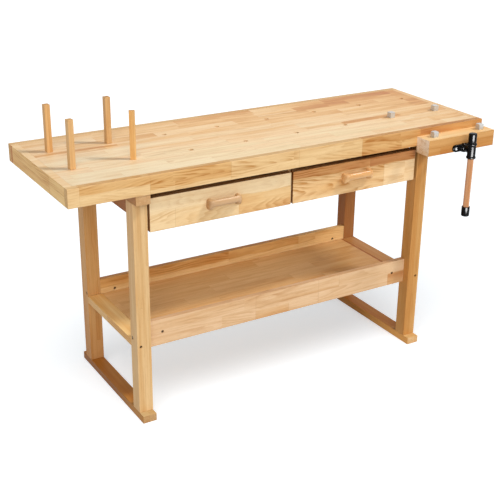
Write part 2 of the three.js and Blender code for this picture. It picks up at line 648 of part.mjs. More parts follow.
  const plateY = [blockBackY + GAP, blockBackY + GAP + NUT_PLATE_THICK];
  const plateX = [SCREW_X - NUT_PLATE_LENGTH / 2, SCREW_X + NUT_PLATE_LENGTH / 2];
  const plateZ = [SCREW_Z - NUT_PLATE_HEIGHT / 2, SCREW_Z + NUT_PLATE_HEIGHT / 2];
  const nutBackY = plateY[1] + NUT_BOSS_LENGTH;
  const nut = joined([
    block(plateX, plateY, plateZ),
    barY(NUT_BOSS_R, plateY[0], nutBackY, SCREW_X, SCREW_Z),
  ]);
  const nutBore = viseHole(SCREW_BORE_R, plateY[0], nutBackY, SCREW_X);
  addPiece(vise, "screw_nut", drilled(nut, [nutBore]), blackIron);
  return vise;
}

// A peg or dog: a square head that stands on a surface, with a round shank below it
function headedPin(size, height, shank) {
  return joined([
    block([-size / 2, size / 2], [-size / 2, size / 2], [GAP, height]),
    barZ(SHANK_R, -shank, GAP + CUT_PAST, 0, 0, HOLE_SIDES),
  ]);
}

function makePegsAndDogs() {
  const pins = new THREE.Group();
  const rows = [["front", DOG_ROW_FRONT_Y], ["back", DOG_ROW_BACK_Y]];
  for (const [row, y] of rows) {
    for (const [place, index] of [["outer", 0], ["inner", 1]]) {
      const pin = headedPin(PEG_SIZE, PEG_HEIGHT, PEG_TENON);
      const peg = addPiece(pins, `${row}_${place}_peg`, pin, amberWood);
      peg.rotation.z = THREE.MathUtils.degToRad(PEG_TURNS_DEG[`${row}_${place}`]);
      peg.position.set(dogHoleX(index), y, TOP_HEIGHT);
    }
  }
  const dogPlaces = [
    ["top_inner_dog", dogHoleX(DOG_HOLE_COUNT - 2), DOG_ROW_FRONT_Y, TOP_HEIGHT],
    ["top_outer_dog", dogHoleX(DOG_HOLE_COUNT - 1), DOG_ROW_FRONT_Y, TOP_HEIGHT],
    ["jaw_inner_dog", JAW_DOG_X[0], JAW_MIDDLE_Y, JAW_TOP_Z],
    ["jaw_outer_dog", JAW_DOG_X[1], JAW_MIDDLE_Y, JAW_TOP_Z],
  ];
  for (const [name, x, y, z] of dogPlaces) {
    const dog = addPiece(pins, name, headedPin(DOG_SIZE, DOG_HEIGHT, DOG_SHANK), brightSteel);
    dog.position.set(x, y, z);
  }
  return pins;
}

const bench = new THREE.Group();
bench.position.y = ORIGIN_SHIFT_Y;
bench.add(makeTop());
bench.add(makeTrestle("left", -1), makeTrestle("right", 1));
bench.add(makeLowerFrame());
bench.add(makeDrawer("left", -1), makeDrawer("right", 1));
bench.add(makeRunners());
bench.add(makeVise());
bench.add(makePegsAndDogs());

export default bench;
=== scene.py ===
import math

import bmesh
import bpy
from mathutils import Matrix, Vector


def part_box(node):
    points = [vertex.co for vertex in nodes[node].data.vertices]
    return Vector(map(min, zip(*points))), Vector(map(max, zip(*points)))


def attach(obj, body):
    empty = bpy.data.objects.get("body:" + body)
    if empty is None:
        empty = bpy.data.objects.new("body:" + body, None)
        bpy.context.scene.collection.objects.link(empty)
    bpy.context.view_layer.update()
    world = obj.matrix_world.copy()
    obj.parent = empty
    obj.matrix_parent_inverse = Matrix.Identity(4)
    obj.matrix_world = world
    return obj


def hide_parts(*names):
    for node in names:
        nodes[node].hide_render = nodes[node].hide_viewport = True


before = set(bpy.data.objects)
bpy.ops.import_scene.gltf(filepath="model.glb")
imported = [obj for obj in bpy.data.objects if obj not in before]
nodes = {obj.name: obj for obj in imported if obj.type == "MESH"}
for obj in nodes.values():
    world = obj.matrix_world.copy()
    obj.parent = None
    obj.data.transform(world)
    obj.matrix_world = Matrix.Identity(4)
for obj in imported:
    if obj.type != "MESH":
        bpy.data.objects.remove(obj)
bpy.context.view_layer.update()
scene = bpy.context.scene

# Camera, in metres and degrees
FOCAL_MM = 72.03
SENSOR_MM = 36.0
CAMERA_REACH = 100.0
CAMERA_PLACE = Vector((-1.66732, -2.66237, 1.74781))
CAMERA_AZIMUTH = math.radians(-31.13)
CAMERA_HEIGHT = math.radians(23.01)
CAMERA_ROLL = math.radians(0.73)


def make_camera():
    a, e, roll = CAMERA_AZIMUTH, CAMERA_HEIGHT, CAMERA_ROLL
    back = Vector((math.sin(a) * math.cos(e), -math.cos(a) * math.cos(e), math.sin(e)))
    right = Vector((math.cos(a), math.sin(a), 0.0))
    up = back.cross(right)
    side = right * math.cos(roll) + up * math.sin(roll)
    top = up * math.cos(roll) - right * math.sin(roll)
    data = bpy.data.cameras.new("camera")
    data.sensor_width = SENSOR_MM
    data.sensor_fit = "HORIZONTAL"
    data.lens = FOCAL_MM
    data.clip_end = CAMERA_REACH
    camera = bpy.data.objects.new("camera", data)
    turn = Matrix((side, top, back)).transposed()
    camera.matrix_world = Matrix.Translation(CAMERA_PLACE) @ turn.to_4x4()
    scene.collection.objects.link(camera)
    scene.camera = camera


class Tree:
    """Short calls that add nodes to one material or world and link them."""

    def __init__(self, owner):
        self.owner = owner
        owner.use_nodes = True
        self.tree = owner.node_tree
        self.tree.nodes.clear()

    def node(self, kind, **settings):
        made = self.tree.nodes.new(kind)
        for key, value in settings.items():
            setattr(made, key, value)
        return made

    def put(self, socket, value):
        if isinstance(value, bpy.types.NodeSocket):
            self.tree.links.new(value, socket)
        elif isinstance(value, tuple) and socket.type == "RGBA":
            socket.default_value = (*value, 1.0)
        else:
            socket.default_value = value

    def fill(self, made, *values):
        """Puts values into a node's first sockets and gives its first output."""
        for socket, value in zip(made.inputs, values):
            self.put(socket, value)
        return made.outputs[0]

    def math(self, operation, a, b=0.0, c=0.0):
        return self.fill(self.node("ShaderNodeMath", operation=operation), a, b, c)

    def add(self, a, b):
        return self.math("ADD", a, b)

    def sub(self, a, b):
        return self.math("SUBTRACT", a, b)

    def mul(self, a, b):
        return self.math("MULTIPLY", a, b)

    def blend(self, factor, a, b):
        """The number a, or b where factor is 1."""
        return self.math("MULTIPLY_ADD", factor, self.sub(b, a), a)

    def ramp(self, value, low, high, out_low=0.0, out_high=1.0):
        made = self.node("ShaderNodeMapRange", interpolation_type="SMOOTHSTEP")
        return self.fill(made, value, low, high, out_low, out_high)

    def fall(self, value, low, high):
        return self.ramp(value, low, high, 1.0, 0.0)

    def palette(self, value, stops):
        """Colours along a number, from (place, colour) pairs."""
        made = self.node("ShaderNodeValToRGB")
        elements = made.color_ramp.elements
        while len(elements) < len(stops):
            elements.new(1.0)
        for element, (place, color) in zip(elements, stops):
            element.position = place
            element.color = (*color, 1.0)
        return self.fill(made, value)

    def vector(self, x, y, z):
        return self.fill(self.node("ShaderNodeCombineXYZ"), x, y, z)

    def parts(self, vector):
        made = self.node("ShaderNodeSeparateXYZ")
        self.fill(made, vector)
        return made.outputs[0], made.outputs[1], made.outputs[2]

    def shift(self, a, b):
        return self.fill(self.node("ShaderNodeVectorMath", operation="ADD"), a, b)

    def scaled(self, vector, factors):
        return self.fill(self.node("ShaderNodeVectorMath", operation="MULTIPLY"), vector, factors)

    def noise(self, place, stretch, detail, rough=0.5, own=None):
        """Noise whose spots lie closer by stretch along each axis. own moves it elsewhere."""
        place = self.scaled(place, stretch)
        if own is not None:
            place = self.shift(place, own)
        made = self.node("ShaderNodeTexNoise")
        self.put(made.inputs["Vector"], place)
        made.inputs["Scale"].default_value = 1.0
        made.inputs["Detail"].default_value = detail
        made.inputs["Roughness"].default_value = rough
        return made.outputs[0]

    def chance(self, vector):
        made = self.node("ShaderNodeTexWhiteNoise", noise_dimensions="3D")
        self.put(made.inputs["Vector"], vector)
        return made.outputs["Value"], made.outputs["Color"]

    def mix(self, factor, a, b, blend="MIX"):
        made = self.node("ShaderNodeMix", data_type="RGBA", blend_type=blend)
        made.clamp_factor = True
        self.put(made.inputs["Factor"], factor)
        self.put(made.inputs["A"], a)
        self.put(made.inputs["B"], b)
        return made.outputs["Result"]

    def coordinates(self):
        made = self.node("ShaderNodeTexCoord")
        return made.outputs["Object"], made.outputs["Normal"]

    def finish(self, color, rough, height, bump, depth, **fixed):
        """The finished material. fixed names shader sockets that are the same all over."""
        shader = self.node("ShaderNodeBsdfPrincipled")
        self.put(shader.inputs["Base Color"], color)
        self.put(shader.inputs["Roughness"], rough)
        for key, value in fixed.items():
            shader.inputs[key.replace("_", " ")].default_value = value
        relief = self.node("ShaderNodeBump")
        relief.inputs["Strength"].default_value = bump
        relief.inputs["Distance"].default_value = depth
        self.put(relief.inputs["Height"], height)
        self.put(shader.inputs["Normal"], relief.outputs[0])
        self.show(shader.outputs[0], "ShaderNodeOutputMaterial")
        return self.owner

    def show(self, shader, kind):
        self.put(self.node(kind).inputs[0], shader)


# Mean colours of the boards, linear
TOP = (0.97, 0.71, 0.43)
EDGE = (0.81, 0.555, 0.275)
END = (0.88, 0.575, 0.228)
LEFT_FRONT_LEG = (0.75, 0.505, 0.25)
LEFT_BACK_LEG = (0.665, 0.39, 0.158)
RIGHT_FRONT_LEG = (0.62, 0.33, 0.11)
# Painted shade in part: the right back leg is darker as it stands in shade under the top
RIGHT_BACK_LEG = (0.37, 0.153, 0.047)
SHELF = (0.82, 0.505, 0.215)
FRONT_RAIL = (0.75, 0.5, 0.285)
BACK_RAIL = (0.82, 0.54, 0.24)
LEFT_SIDE_RAIL = (0.76, 0.48, 0.20)
LEFT_SIDE_RAIL_TOP = (0.94, 0.64, 0.275)
RIGHT_SIDE_RAIL = (0.48, 0.24, 0.09)
RIGHT_SIDE_RAIL_TOP = (0.45, 0.225, 0.08)
# Painted shade in part: the bearers are darker than the legs as they lie in shade under the top
BEARER = (0.42, 0.19, 0.05)
LEFT_FOOT = (0.50, 0.24, 0.05)
LEFT_FOOT_TOP = (0.60, 0.41, 0.19)
RIGHT_FOOT = (0.78, 0.41, 0.12)
RIGHT_FOOT_TOP = (0.70, 0.43, 0.17)
LEFT_FOOT_END = (0.57, 0.36, 0.17)
RIGHT_FOOT_END = (0.77, 0.50, 0.245)
LEFT_DRAWER = (0.87, 0.64, 0.36)
RIGHT_DRAWER = (0.865, 0.6, 0.32)
LEFT_PULL = (0.6, 0.365, 0.178)
RIGHT_PULL = (0.83, 0.5, 0.22)
JAW = (0.66, 0.345, 0.118)
PEGS = {"front_outer": (0.73, 0.45, 0.20), "front_inner": (0.85, 0.52, 0.215),
        "back_outer": (0.73, 0.43, 0.18), "back_inner": (0.68, 0.42, 0.19)}
HANDLE = (0.74, 0.415, 0.24)
BOX = (0.70, 0.47, 0.25)
# Painted light: the top of the jaw is paler than its front, as if lit from above
JAW_LIT_TOP = (0.96, 0.67, 0.35)
RIGHT_END_TOP = (0.86, 0.59, 0.33)
LEFT_END_TOP = (0.89, 0.67, 0.41)
# Painted shade: the drawers' outer sides and the runners, dark as they lie in shade under the top
SHADED_SIDE = (0.41, 0.155, 0.045)
# Painted shade: the top edges of the drawer fronts are as dark as the gap under the front edge
DRAWER_GAP_SHADE = (0.36, 0.19, 0.08)

# What the end grain of a board is, against its mean colour
END_TINT = (0.90, 0.84, 0.76)
# Painted shade: the ends of the drawer fronts, as dark as the gaps beside the drawers
DRAWER_GAP_SHADE_END_TINT = (0.42, 0.31, 0.23)
# Lifts the lit ends of the bearers back out of the painted shade of their sides
BEARER_END_TINT = (1.52, 2.05, 3.7)
JAW_END_TINT = (1.48, 2.37, 5.4)

# What pale, warm, brown and deep brown staves of a wood are, against its mean colour
PALE = (1.08, 1.13, 1.22)
WARM = (0.94, 0.84, 0.70)
BROWN = (0.80, 0.60, 0.42)
DEEP = (0.624, 0.36, 0.244)
WARM_TONE, BROWN_TONE, DEEPEST = 0.72, 1.0, 1.5
MEAN_TONE = 0.38
BRIGHTEST = 0.98

AXES = {"X": 0, "Y": 1, "Z": 2}
FINGER_PITCH = 0.0065
FINGER_DEPTH = 0.006
JOINT_WIDTH = 0.0011
PATCH_BLUR = 0.003
PATCH_WANDER = 0.016
LATE_WOOD = (0.70, 0.53, 0.35)
STREAK = (0.82, 0.68, 0.50)
FIBRE = (0.86, 0.79, 0.70)
PORE = (0.62, 0.48, 0.34)
GLUE = (0.52, 0.38, 0.26)
END_SPECK = (0.56, 0.46, 0.36)

# Stretch of each noise in a board, along the grain, across the staves and through the board
PATCH_STRETCH = (9.0, 30.0, 30.0)
WAVE_STRETCH = (3.0, 18.0, 18.0)
FADE_STRETCH = (7.0, 34.0, 34.0)
STREAK_STRETCH = (2.2, 70.0, 70.0)
FIBRE_STRETCH = (14.0, 520.0, 520.0)
PORE_STRETCH = (55.0, 1100.0, 1100.0)
CLOUD_STRETCH = (4.0, 30.0, 30.0)
UPPER_CLOUD_STRETCH = (30.0, 30.0, 4.0)
UPPER_STREAK_STRETCH = (90.0, 70.0, 3.0)
SPECK_STRETCH = (620.0,) * 3
BLOCK_OFFSET = (40.0,) * 3

# Where a value starts to count, and where it counts in full
FACING_RANGE = (0.6, 0.9)
STREAK_RANGE = (0.42, 0.72)
FADE_RANGE = (0.36, 0.66)
FIBRE_RANGE = (0.35, 0.75)
PORE_RANGE = (0.63, 0.72)
SPECK_RANGE = (0.40, 0.68)
LATE_RISE = (0.15, 0.86)
LATE_FALL = (0.88, 1.0)

# How much each adds to the tone or the colour
STAVE_TONE = 0.40
CLOUD_SWING = 1.1
UPPER_TONE = 0.5
UPPER_CLOUD_SWING = 1.4
UPPER_STREAKS = 0.6
FIBRES = 0.4
PORES = 0.35
SPECKS = 0.45
STAVE_LINES = 0.6
LEAST_FIGURE, FIGURE_SPREAD = 0.2, 0.8

# Roughness and relief
FIBRE_ROUGH, END_ROUGH = 0.14, 0.15
FIBRE_RELIEF, PORE_RELIEF, JOINT_RELIEF = 0.6, 0.5, 0.7

# Year rings: how far their centre lies beside and behind a block's face, in metres
RING_SIDE = 0.06
RING_BACK, RING_BACK_SPREAD = 0.006, 0.045

# Numbers that only keep the counts of staves and blocks positive and out of step
FIRST_STAVE = 50.0
FIRST_BLOCK, BLOCK_STEP = 40.0, 7.0


def shades(mean):
    """The stops of a wood's palette, from its pale staves to its brown ones."""
    stops = []
    steps = ((0.0, PALE), (MEAN_TONE, (1.0, 1.0, 1.0)), (WARM_TONE, WARM), (BROWN_TONE, BROWN),
             (DEEPEST, DEEP))
    for tone, factors in steps:
        color = tuple(min(BRIGHTEST, m * f) for m, f in zip(mean, factors))
        stops.append((tone / DEEPEST, color))
    return stops


def upper_face(t, u, v, w, mean):
    """Wood whose grain runs across u, for a face that carries on the staves beside it."""
    crosswise = t.vector(u, v, w)
    cloud = t.noise(crosswise, UPPER_CLOUD_STRETCH, 3.0, 0.55)
    streaks = t.ramp(t.noise(crosswise, UPPER_STREAK_STRETCH, 4.0, 0.6), *STREAK_RANGE)
    tone = t.math("MULTIPLY_ADD", t.sub(cloud, 0.5), UPPER_CLOUD_SWING, UPPER_TONE)
    color = t.palette(t.math("DIVIDE", tone, DEEPEST), shades(mean))
    return t.mix(t.mul(streaks, UPPER_STREAKS), color, STREAK, "MULTIPLY")


def dimmed(t, color, u, dim):
    """Painted shade: a colour that is tinted by dim[2] at u of dim[0] and as it was at u of dim[1].
    """
    start, end, tint = dim
    return t.mix(t.fall(u, start, end), color, tint, "MULTIPLY")


def wood(name, node, grain, across, mean, seed, stave=0.06, block=0.9, start=0.0, ring=0.6,
         streak=0.5, spread=0.4, line=0.35, slant=0.0, lean=0.0, bow=0.0, dim=None, cover=None,
         cover_dim=None, along=False, patches=(), end_tint=END_TINT, gloss=0.1, rough=0.38,
         rings=0.0058, cone=0.09, warp=0.030):
    """Finger-jointed lacquered wood for one board, in the board's own coordinates.

    grain and across name the axes along the grain and across the staves. u, v and w run along,
    across and through the board, in metres from its middle. stave is the width of the staves,
    counted from start, and block the length of their blocks. A tone goes from pale at 0 over
    brown at 1 to DEEPEST, and spread is how far the tones of the blocks differ. slant and lean
    are how much the tone rises per metre of v and of u, and bow how much it rises towards the
    ends per square metre. dim paints shade on one end (see dimmed). patches are single blocks:
    low u, high u, low v, high v, tone, and the strength of the figure; on some boards they are
    painted light or shade.

    ring, streak and line are the strengths of year rings, streaks and glue lines. rings is the
    distance between year rings, cone how much they run out of the board and warp how far they
    wander. cover is the mean colour of faces that look up, where it differs, on some boards a
    painted light or shade of those faces; cover_dim paints shade on it, and along puts its grain
    along the board. end_tint is for the end grain, on some boards painted shade of the ends.
    """
    low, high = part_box(node)
    middle = (low + high) / 2
    t = Tree(bpy.data.materials.new(name))
    place, normal = t.coordinates()
    axes = t.parts(t.shift(place, tuple(-middle)))
    third = ({"X", "Y", "Z"} - {grain, across}).pop()
    u, v, w = axes[AXES[grain]], axes[AXES[across]], axes[AXES[third]]
    facing = t.math("ABSOLUTE", t.parts(normal)[AXES[grain]])
    on_end = t.ramp(facing, *FACING_RANGE)

    # Staves, and the finger-jointed blocks along each
    row_place = t.add(t.math("DIVIDE", t.sub(v, start), stave), FIRST_STAVE)
    row = t.math("FLOOR", row_place)
    row_chance, _ = t.chance(t.vector(row, seed, 0.5))
    finger = t.math("PINGPONG", t.math("DIVIDE", w, FINGER_PITCH), 1.0)
    u_cut = t.math("MULTIPLY_ADD", finger, FINGER_DEPTH, u)
    first_block = t.math("MULTIPLY_ADD", row_chance, BLOCK_STEP, FIRST_BLOCK)
    block_place = t.add(t.math("DIVIDE", u_cut, block), first_block)
    block_index = t.math("FLOOR", block_place)
    first, scatter = t.chance(t.vector(row, block_index, seed))
    chances = t.parts(scatter)
    tone = t.math("MULTIPLY_ADD", first, spread, STAVE_TONE - spread / 2)
    figure = t.math("MULTIPLY_ADD", chances[2], FIGURE_SPREAD, LEAST_FIGURE)

    stave_line = t.fall(t.math("PINGPONG", row_place, 0.5), 0.0, JOINT_WIDTH / stave)
    block_line = t.fall(t.math("PINGPONG", block_place, 0.5), 0.0, JOINT_WIDTH / block)
    grain_place = t.vector(u, v, w)
    wander = t.noise(grain_place, PATCH_STRETCH, 2.0)
    v_soft = t.math("MULTIPLY_ADD", t.sub(wander, 0.5), PATCH_WANDER, v)
    for u_low, u_high, v_low, v_high, patch_tone, patch_figure in patches:
        inside_u = t.mul(t.math("GREATER_THAN", u_cut, u_low), t.math("LESS_THAN", u_cut, u_high))
        inside_v = t.mul(t.ramp(v_soft, v_low - PATCH_BLUR, v_low + PATCH_BLUR),
                         t.fall(v_soft, v_high - PATCH_BLUR, v_high + PATCH_BLUR))
        inside = t.mul(inside_u, inside_v)
        tone = t.blend(inside, tone, patch_tone)
        figure = t.blend(inside, figure, patch_figure)
        nearest = t.math("MINIMUM", t.math("ABSOLUTE", t.sub(u_cut, u_low)),
                         t.math("ABSOLUTE", t.sub(u_cut, u_high)))
        ends = t.mul(t.fall(nearest, 0.0, JOINT_WIDTH), inside_v)
        block_line = t.math("MAXIMUM", t.mul(block_line, t.sub(1.0, inside)), ends)
    joint = t.math("MAXIMUM", t.mul(stave_line, STAVE_LINES), block_line)

    # Year rings as cones round a centre that differs from block to block, so that flat
    # faces show them as arches
    own = t.scaled(scatter, BLOCK_OFFSET)
    waves = t.noise(grain_place, WAVE_STRETCH, 3.0, 0.55, own)
    ring_v = t.add(t.mul(t.sub(t.math("FRACT", row_place), 0.5), stave),
                   t.mul(t.sub(chances[0], 0.5), RING_SIDE))
    ring_w = t.add(w, t.math("MULTIPLY_ADD", chances[1], RING_BACK_SPREAD, RING_BACK))
    radius = t.math("SQRT", t.add(t.mul(ring_v, ring_v), t.mul(ring_w, ring_w)))
    radius = t.math("MULTIPLY_ADD", u, t.mul(t.sub(chances[2], 0.5), cone), radius)
    radius = t.math("MULTIPLY_ADD", waves, warp, radius)
    phase = t.math("FRACT", t.math("DIVIDE", radius, rings))
    late = t.mul(t.ramp(phase, *LATE_RISE), t.fall(phase, *LATE_FALL))
    fading = t.noise(grain_place, FADE_STRETCH, 2.0, 0.5, own)
    late = t.mul(t.mul(late, figure), t.ramp(fading, *FADE_RANGE))

    # Streaks, fibres and pores, drawn out along the grain
    streaks = t.ramp(t.noise(grain_place, STREAK_STRETCH, 4.0, 0.6, own), *STREAK_RANGE)
    fibre = t.noise(grain_place, FIBRE_STRETCH, 3.0, 0.6)
    pores = t.ramp(t.noise(grain_place, PORE_STRETCH, 1.0), *PORE_RANGE)
    cloud = t.noise(grain_place, CLOUD_STRETCH, 3.0, 0.55, own)

    tone = t.add(tone, t.mul(t.sub(cloud, 0.5), CLOUD_SWING))
    tone = t.math("MULTIPLY_ADD", v, slant, tone)
    tone = t.math("MULTIPLY_ADD", u, lean, tone)
    tone = t.math("MULTIPLY_ADD", t.mul(u, u), bow, tone)
    color = t.palette(t.math("DIVIDE", tone, DEEPEST), shades(mean))
    # Painted shade on one end of the board
    if dim:
        color = dimmed(t, color, u, dim)
    layers = ((t.mul(late, ring), LATE_WOOD), (t.mul(streaks, streak), STREAK),
              (t.ramp(fibre, *FIBRE_RANGE, 0.0, FIBRES), FIBRE), (t.mul(pores, PORES), PORE),
              (t.mul(joint, line), GLUE))
    for amount, tint in layers:
        color = t.mix(amount, color, tint, "MULTIPLY")
    speck = t.ramp(t.noise(grain_place, SPECK_STRETCH, 3.0, 0.6), *SPECK_RANGE)
    ends = t.mix(1.0, color, end_tint, "MULTIPLY")
    ends = t.mix(t.mul(speck, SPECKS), ends, END_SPECK, "MULTIPLY")
    color = t.mix(on_end, color, ends)
    # On some boards the faces that look up are painted light or shade
    if cover:
        upper = upper_face(t, w, v, u, cover) if along else upper_face(t, u, v, w, cover)
        if cover_dim:
            upper = dimmed(t, upper, u, cover_dim)
        color = t.mix(t.ramp(t.parts(normal)[2], *FACING_RANGE), color, upper)

    roughness = t.math("MULTIPLY_ADD", fibre, FIBRE_ROUGH, rough)
    roughness = t.math("MULTIPLY_ADD", on_end, END_ROUGH, roughness)
    hollow = t.add(t.mul(pores, PORE_RELIEF), t.mul(joint, JOINT_RELIEF))
    height = t.sub(t.mul(fibre, FIBRE_RELIEF), hollow)
    return t.finish(color, roughness, height, bump=0.10, depth=0.0006, Specular_IOR_Level=gloss)


# Finishes of the metal
STEEL = (0.56, 0.57, 0.58)
PALE_STEEL = (0.64, 0.63, 0.61)
# Painted shade: the sunk barrel nuts and side bolts, as dark as the holes they sit in
SUNK_SHADE_STEEL = (0.17, 0.115, 0.07)
DARK_STEEL = (0.10, 0.08, 0.06)
BRUSHED = (40.0, 40.0, 900.0)
TURNED = (900.0, 60.0, 900.0)
SMUT_STRETCH, SMUT_RANGE, SMUT_SHADE, SMUT_STRENGTH = (60.0,) * 3, (0.4, 0.8), 0.72, 0.5
LINE_RANGE, LINE_SHADE, LINE_STRENGTH, LINE_ROUGH = (0.3, 0.8), 0.8, 0.35, 0.14
CAST_STRETCH = (420.0,) * 3
WEAR_STRETCH, WEAR_RANGE, WEAR_ROUGH = (45.0,) * 3, (0.45, 0.8), 0.10
BLACK = (0.0003, 0.0003, 0.0004)
WORN_BLACK = (0.0008, 0.0008, 0.0009)


def steel(name, color=STEEL, rough=0.22, brush=BRUSHED, metal=1.0):
    """Steel with fine lines, at least rough. brush is how close they lie along each axis."""
    t = Tree(bpy.data.materials.new(name))
    place, _ = t.coordinates()
    lines = t.noise(place, brush, 3.0, 0.6)
    smut = t.noise(place, SMUT_STRETCH, 4.0, 0.6)
    smutty = tuple(c * SMUT_SHADE for c in color)
    lined = tuple(c * LINE_SHADE for c in color)
    shade = t.mix(t.ramp(smut, *SMUT_RANGE, 0.0, SMUT_STRENGTH), color, smutty)
    shade = t.mix(t.ramp(lines, *LINE_RANGE, 0.0, LINE_STRENGTH), shade, lined)
    roughness = t.math("MULTIPLY_ADD", lines, LINE_ROUGH, rough)
    return t.finish(shade, roughness, lines, bump=0.05, depth=0.0003, Metallic=metal)


def black_gloss(name, rough=0.16, grit=0.06):
    """Black enamel, at least rough. grit is how much the casting's grain shows through it."""
    t = Tree(bpy.data.materials.new(name))
    place, _ = t.coordinates()
    cast = t.noise(place, CAST_STRETCH, 3.0, 0.55)
    wear = t.noise(place, WEAR_STRETCH, 4.0, 0.6)
    shade = t.mix(t.ramp(wear, *WEAR_RANGE), BLACK, WORN_BLACK)
    roughness = t.math("MULTIPLY_ADD", wear, WEAR_ROUGH, rough)
    return t.finish(shade, roughness, cast, bump=grit, depth=0.0003, Specular_IOR_Level=0.08)


def add_object(name, bm, body, material, replaces=()):
    """A piece of the scene's own that rides on a body."""
    obj = bpy.data.objects.new(name, mesh_from(bm, name + "_mesh"))
    scene.collection.objects.link(obj)
    obj.data.materials.append(material)
    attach(obj, body)
    if replaces:
        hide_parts(*replaces)
    return obj


SHARP_ANGLE = math.radians(35)
CHAMFER = 0.001


def mesh_from(bm, name):
    """A mesh with smooth faces whose edges are sharp from SHARP_ANGLE on."""
    bmesh.ops.recalc_face_normals(bm, faces=bm.faces)
    for face in bm.faces:
        face.smooth = True
    for edge in bm.edges:
        sharp = len(edge.link_faces) == 2 and edge.calc_face_angle(0.0) > SHARP_ANGLE
        edge.smooth = not sharp
    mesh = bpy.data.meshes.new(name)
    bm.to_mesh(mesh)
    bm.free()
    return mesh


def lathe(bm, profile, place, axis, sides=48):
    """Turns (distance along, radius) points round an axis from a place.

    A radius of 0 closes an end.
    """
    axis = Vector(axis).normalized()
    first = axis.orthogonal().normalized()
    second = axis.cross(first)
    place = Vector(place)
    rings = []
    for along, radius in profile:
        if not radius:
            rings.append([bm.verts.new(place + axis * along)])
            continue
        ring = []
        for i in range(sides):
            angle = math.tau * i / sides
            offset = first * math.cos(angle) + second * math.sin(angle)
            ring.append(bm.verts.new(place + axis * along + offset * radius))
        rings.append(ring)
    for a, b in zip(rings, rings[1:]):
        for i in range(sides):
            j = (i + 1) % sides
            if len(a) == 1:
                bm.faces.new((a[0], b[j], b[i]))
            elif len(b) == 1:
                bm.faces.new((a[i], a[j], b[0]))
            else:
                bm.faces.new((a[i], a[j], b[j], b[i]))


def rounded(start, end, steps=4):
    """A quarter round between two (along, radius) points that bulges away from the axis."""
    points = []
    for i in range(steps + 1):
        angle = math.pi / 2 * i / steps
        if end[1] > start[1]:
            points.append((end[0] - (end[0] - start[0]) * math.cos(angle),
                           start[1] + (end[1] - start[1]) * math.sin(angle)))
        else:
            points.append((start[0] + (end[0] - start[0]) * math.sin(angle),
                           end[1] + (start[1] - end[1]) * math.cos(angle)))
    return points


def skin(bm, layers):
    """Joins closed rows of vertices into one skin, with a face at each end."""
    count = len(layers[0])
    for a, b in zip(layers, layers[1:]):
        for i in range(count):
            j = (i + 1) % count
            bm.faces.new((a[i], a[j], b[j], b[i]))
    bm.faces.new(layers[0])
    bm.faces.new(layers[-1])


EDGE_MARGIN = 0.0005
WELD_DISTANCE = 0.00002
FLAT_ANGLE = math.radians(1.0)
BEVEL_SEGMENTS = 2


def mark_edges(obj, axis, sign):
    """Marks the edges to round: all but those on the face at the high or low end of an axis."""
    low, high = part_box(obj.name)
    limit = high[axis] - EDGE_MARGIN if sign > 0 else low[axis] + EDGE_MARGIN
    group = bpy.data.node_groups.new(obj.name + "_edges", "GeometryNodeTree")
    add, link = group.nodes.new, group.links.new
    for way in ("INPUT", "OUTPUT"):
        group.interface.new_socket("Geometry", in_out=way, socket_type="NodeSocketGeometry")
    start = add("NodeGroupInput")
    end = add("NodeGroupOutput")
    place = add("GeometryNodeInputPosition")
    parts = add("ShaderNodeSeparateXYZ")
    link(place.outputs[0], parts.inputs[0])
    beyond = add("ShaderNodeMath")
    beyond.operation = "LESS_THAN" if sign > 0 else "GREATER_THAN"
    link(parts.outputs[axis], beyond.inputs[0])
    beyond.inputs[1].default_value = limit
    store = add("GeometryNodeStoreNamedAttribute")
    store.data_type = "FLOAT"
    store.domain = "EDGE"
    store.inputs["Name"].default_value = "bevel_weight_edge"
    link(start.outputs[0], store.inputs["Geometry"])
    link(beyond.outputs[0], store.inputs["Value"])
    link(store.outputs[0], end.inputs[0])
    obj.modifiers.new("edges", "NODES").node_group = group


def dress(node, material, bevel=0.0012, inner=None):
    """Gives a CAD board its finish and slightly rounded edges.

    inner, an axis and the sign of its end, names a face whose edges stay sharp.
    """
    obj = nodes[node]
    obj.data.materials.clear()
    obj.data.materials.append(material)
    weld = obj.modifiers.new("weld", "WELD")
    weld.merge_threshold = WELD_DISTANCE
    flat = obj.modifiers.new("flat", "DECIMATE")
    flat.decimate_type = "DISSOLVE"
    flat.angle_limit = FLAT_ANGLE
    if inner:
        mark_edges(obj, *inner)
    edge = obj.modifiers.new("edge", "BEVEL")
    edge.width = bevel
    edge.segments = BEVEL_SEGMENTS
    edge.limit_method = "WEIGHT" if inner else "ANGLE"
    edge.angle_limit = SHARP_ANGLE
    edge.use_clamp_overlap = True


# Blocks that stand out on single boards: low u, high u, low v, high v, tone, figure
TOP_BLOCKS = (
    (0.3, 0.54, -0.08, -0.05, 0.9, 1.4),
    (-0.74, -0.47, 0.065, 0.08, 0.95, 1.2),
    (-0.055, 0.19, 0.0456, 0.0912, 0.52, 0.8),
    (0.25, 0.48, 0.1368, 0.1824, 0.6, 0.9),
    (0.6, 0.763, -0.19, -0.15, 0.75, 0.9),
)
FRONT_EDGE_BLOCKS = (
    (-0.763, -0.724, -0.1, 0.1, 0.2, 0.5),
    (-0.724, -0.508, -0.1, 0.1, 0.22, 0.5),
    (-0.724, -0.508, 0.004, 0.1, 0.72, 0.9),
    (-0.508, -0.239, -0.1, 0.1, 0.26, 0.5),
    (-0.508, -0.239, -0.016, 0.1, 0.72, 1.4),
    (-0.239, 0.005, -0.1, 0.1, 0.3, 1.2),
    (0.005, 0.249, -0.1, 0.1, 0.38, 0.6),
    (0.249, 0.49, -0.1, 0.1, 0.8, 1.5),
    (0.49, 0.763, -0.1, 0.1, 0.8, 1.0),
    (0.49, 0.763, 0.01, 0.1, 1.15, 1.0),
)
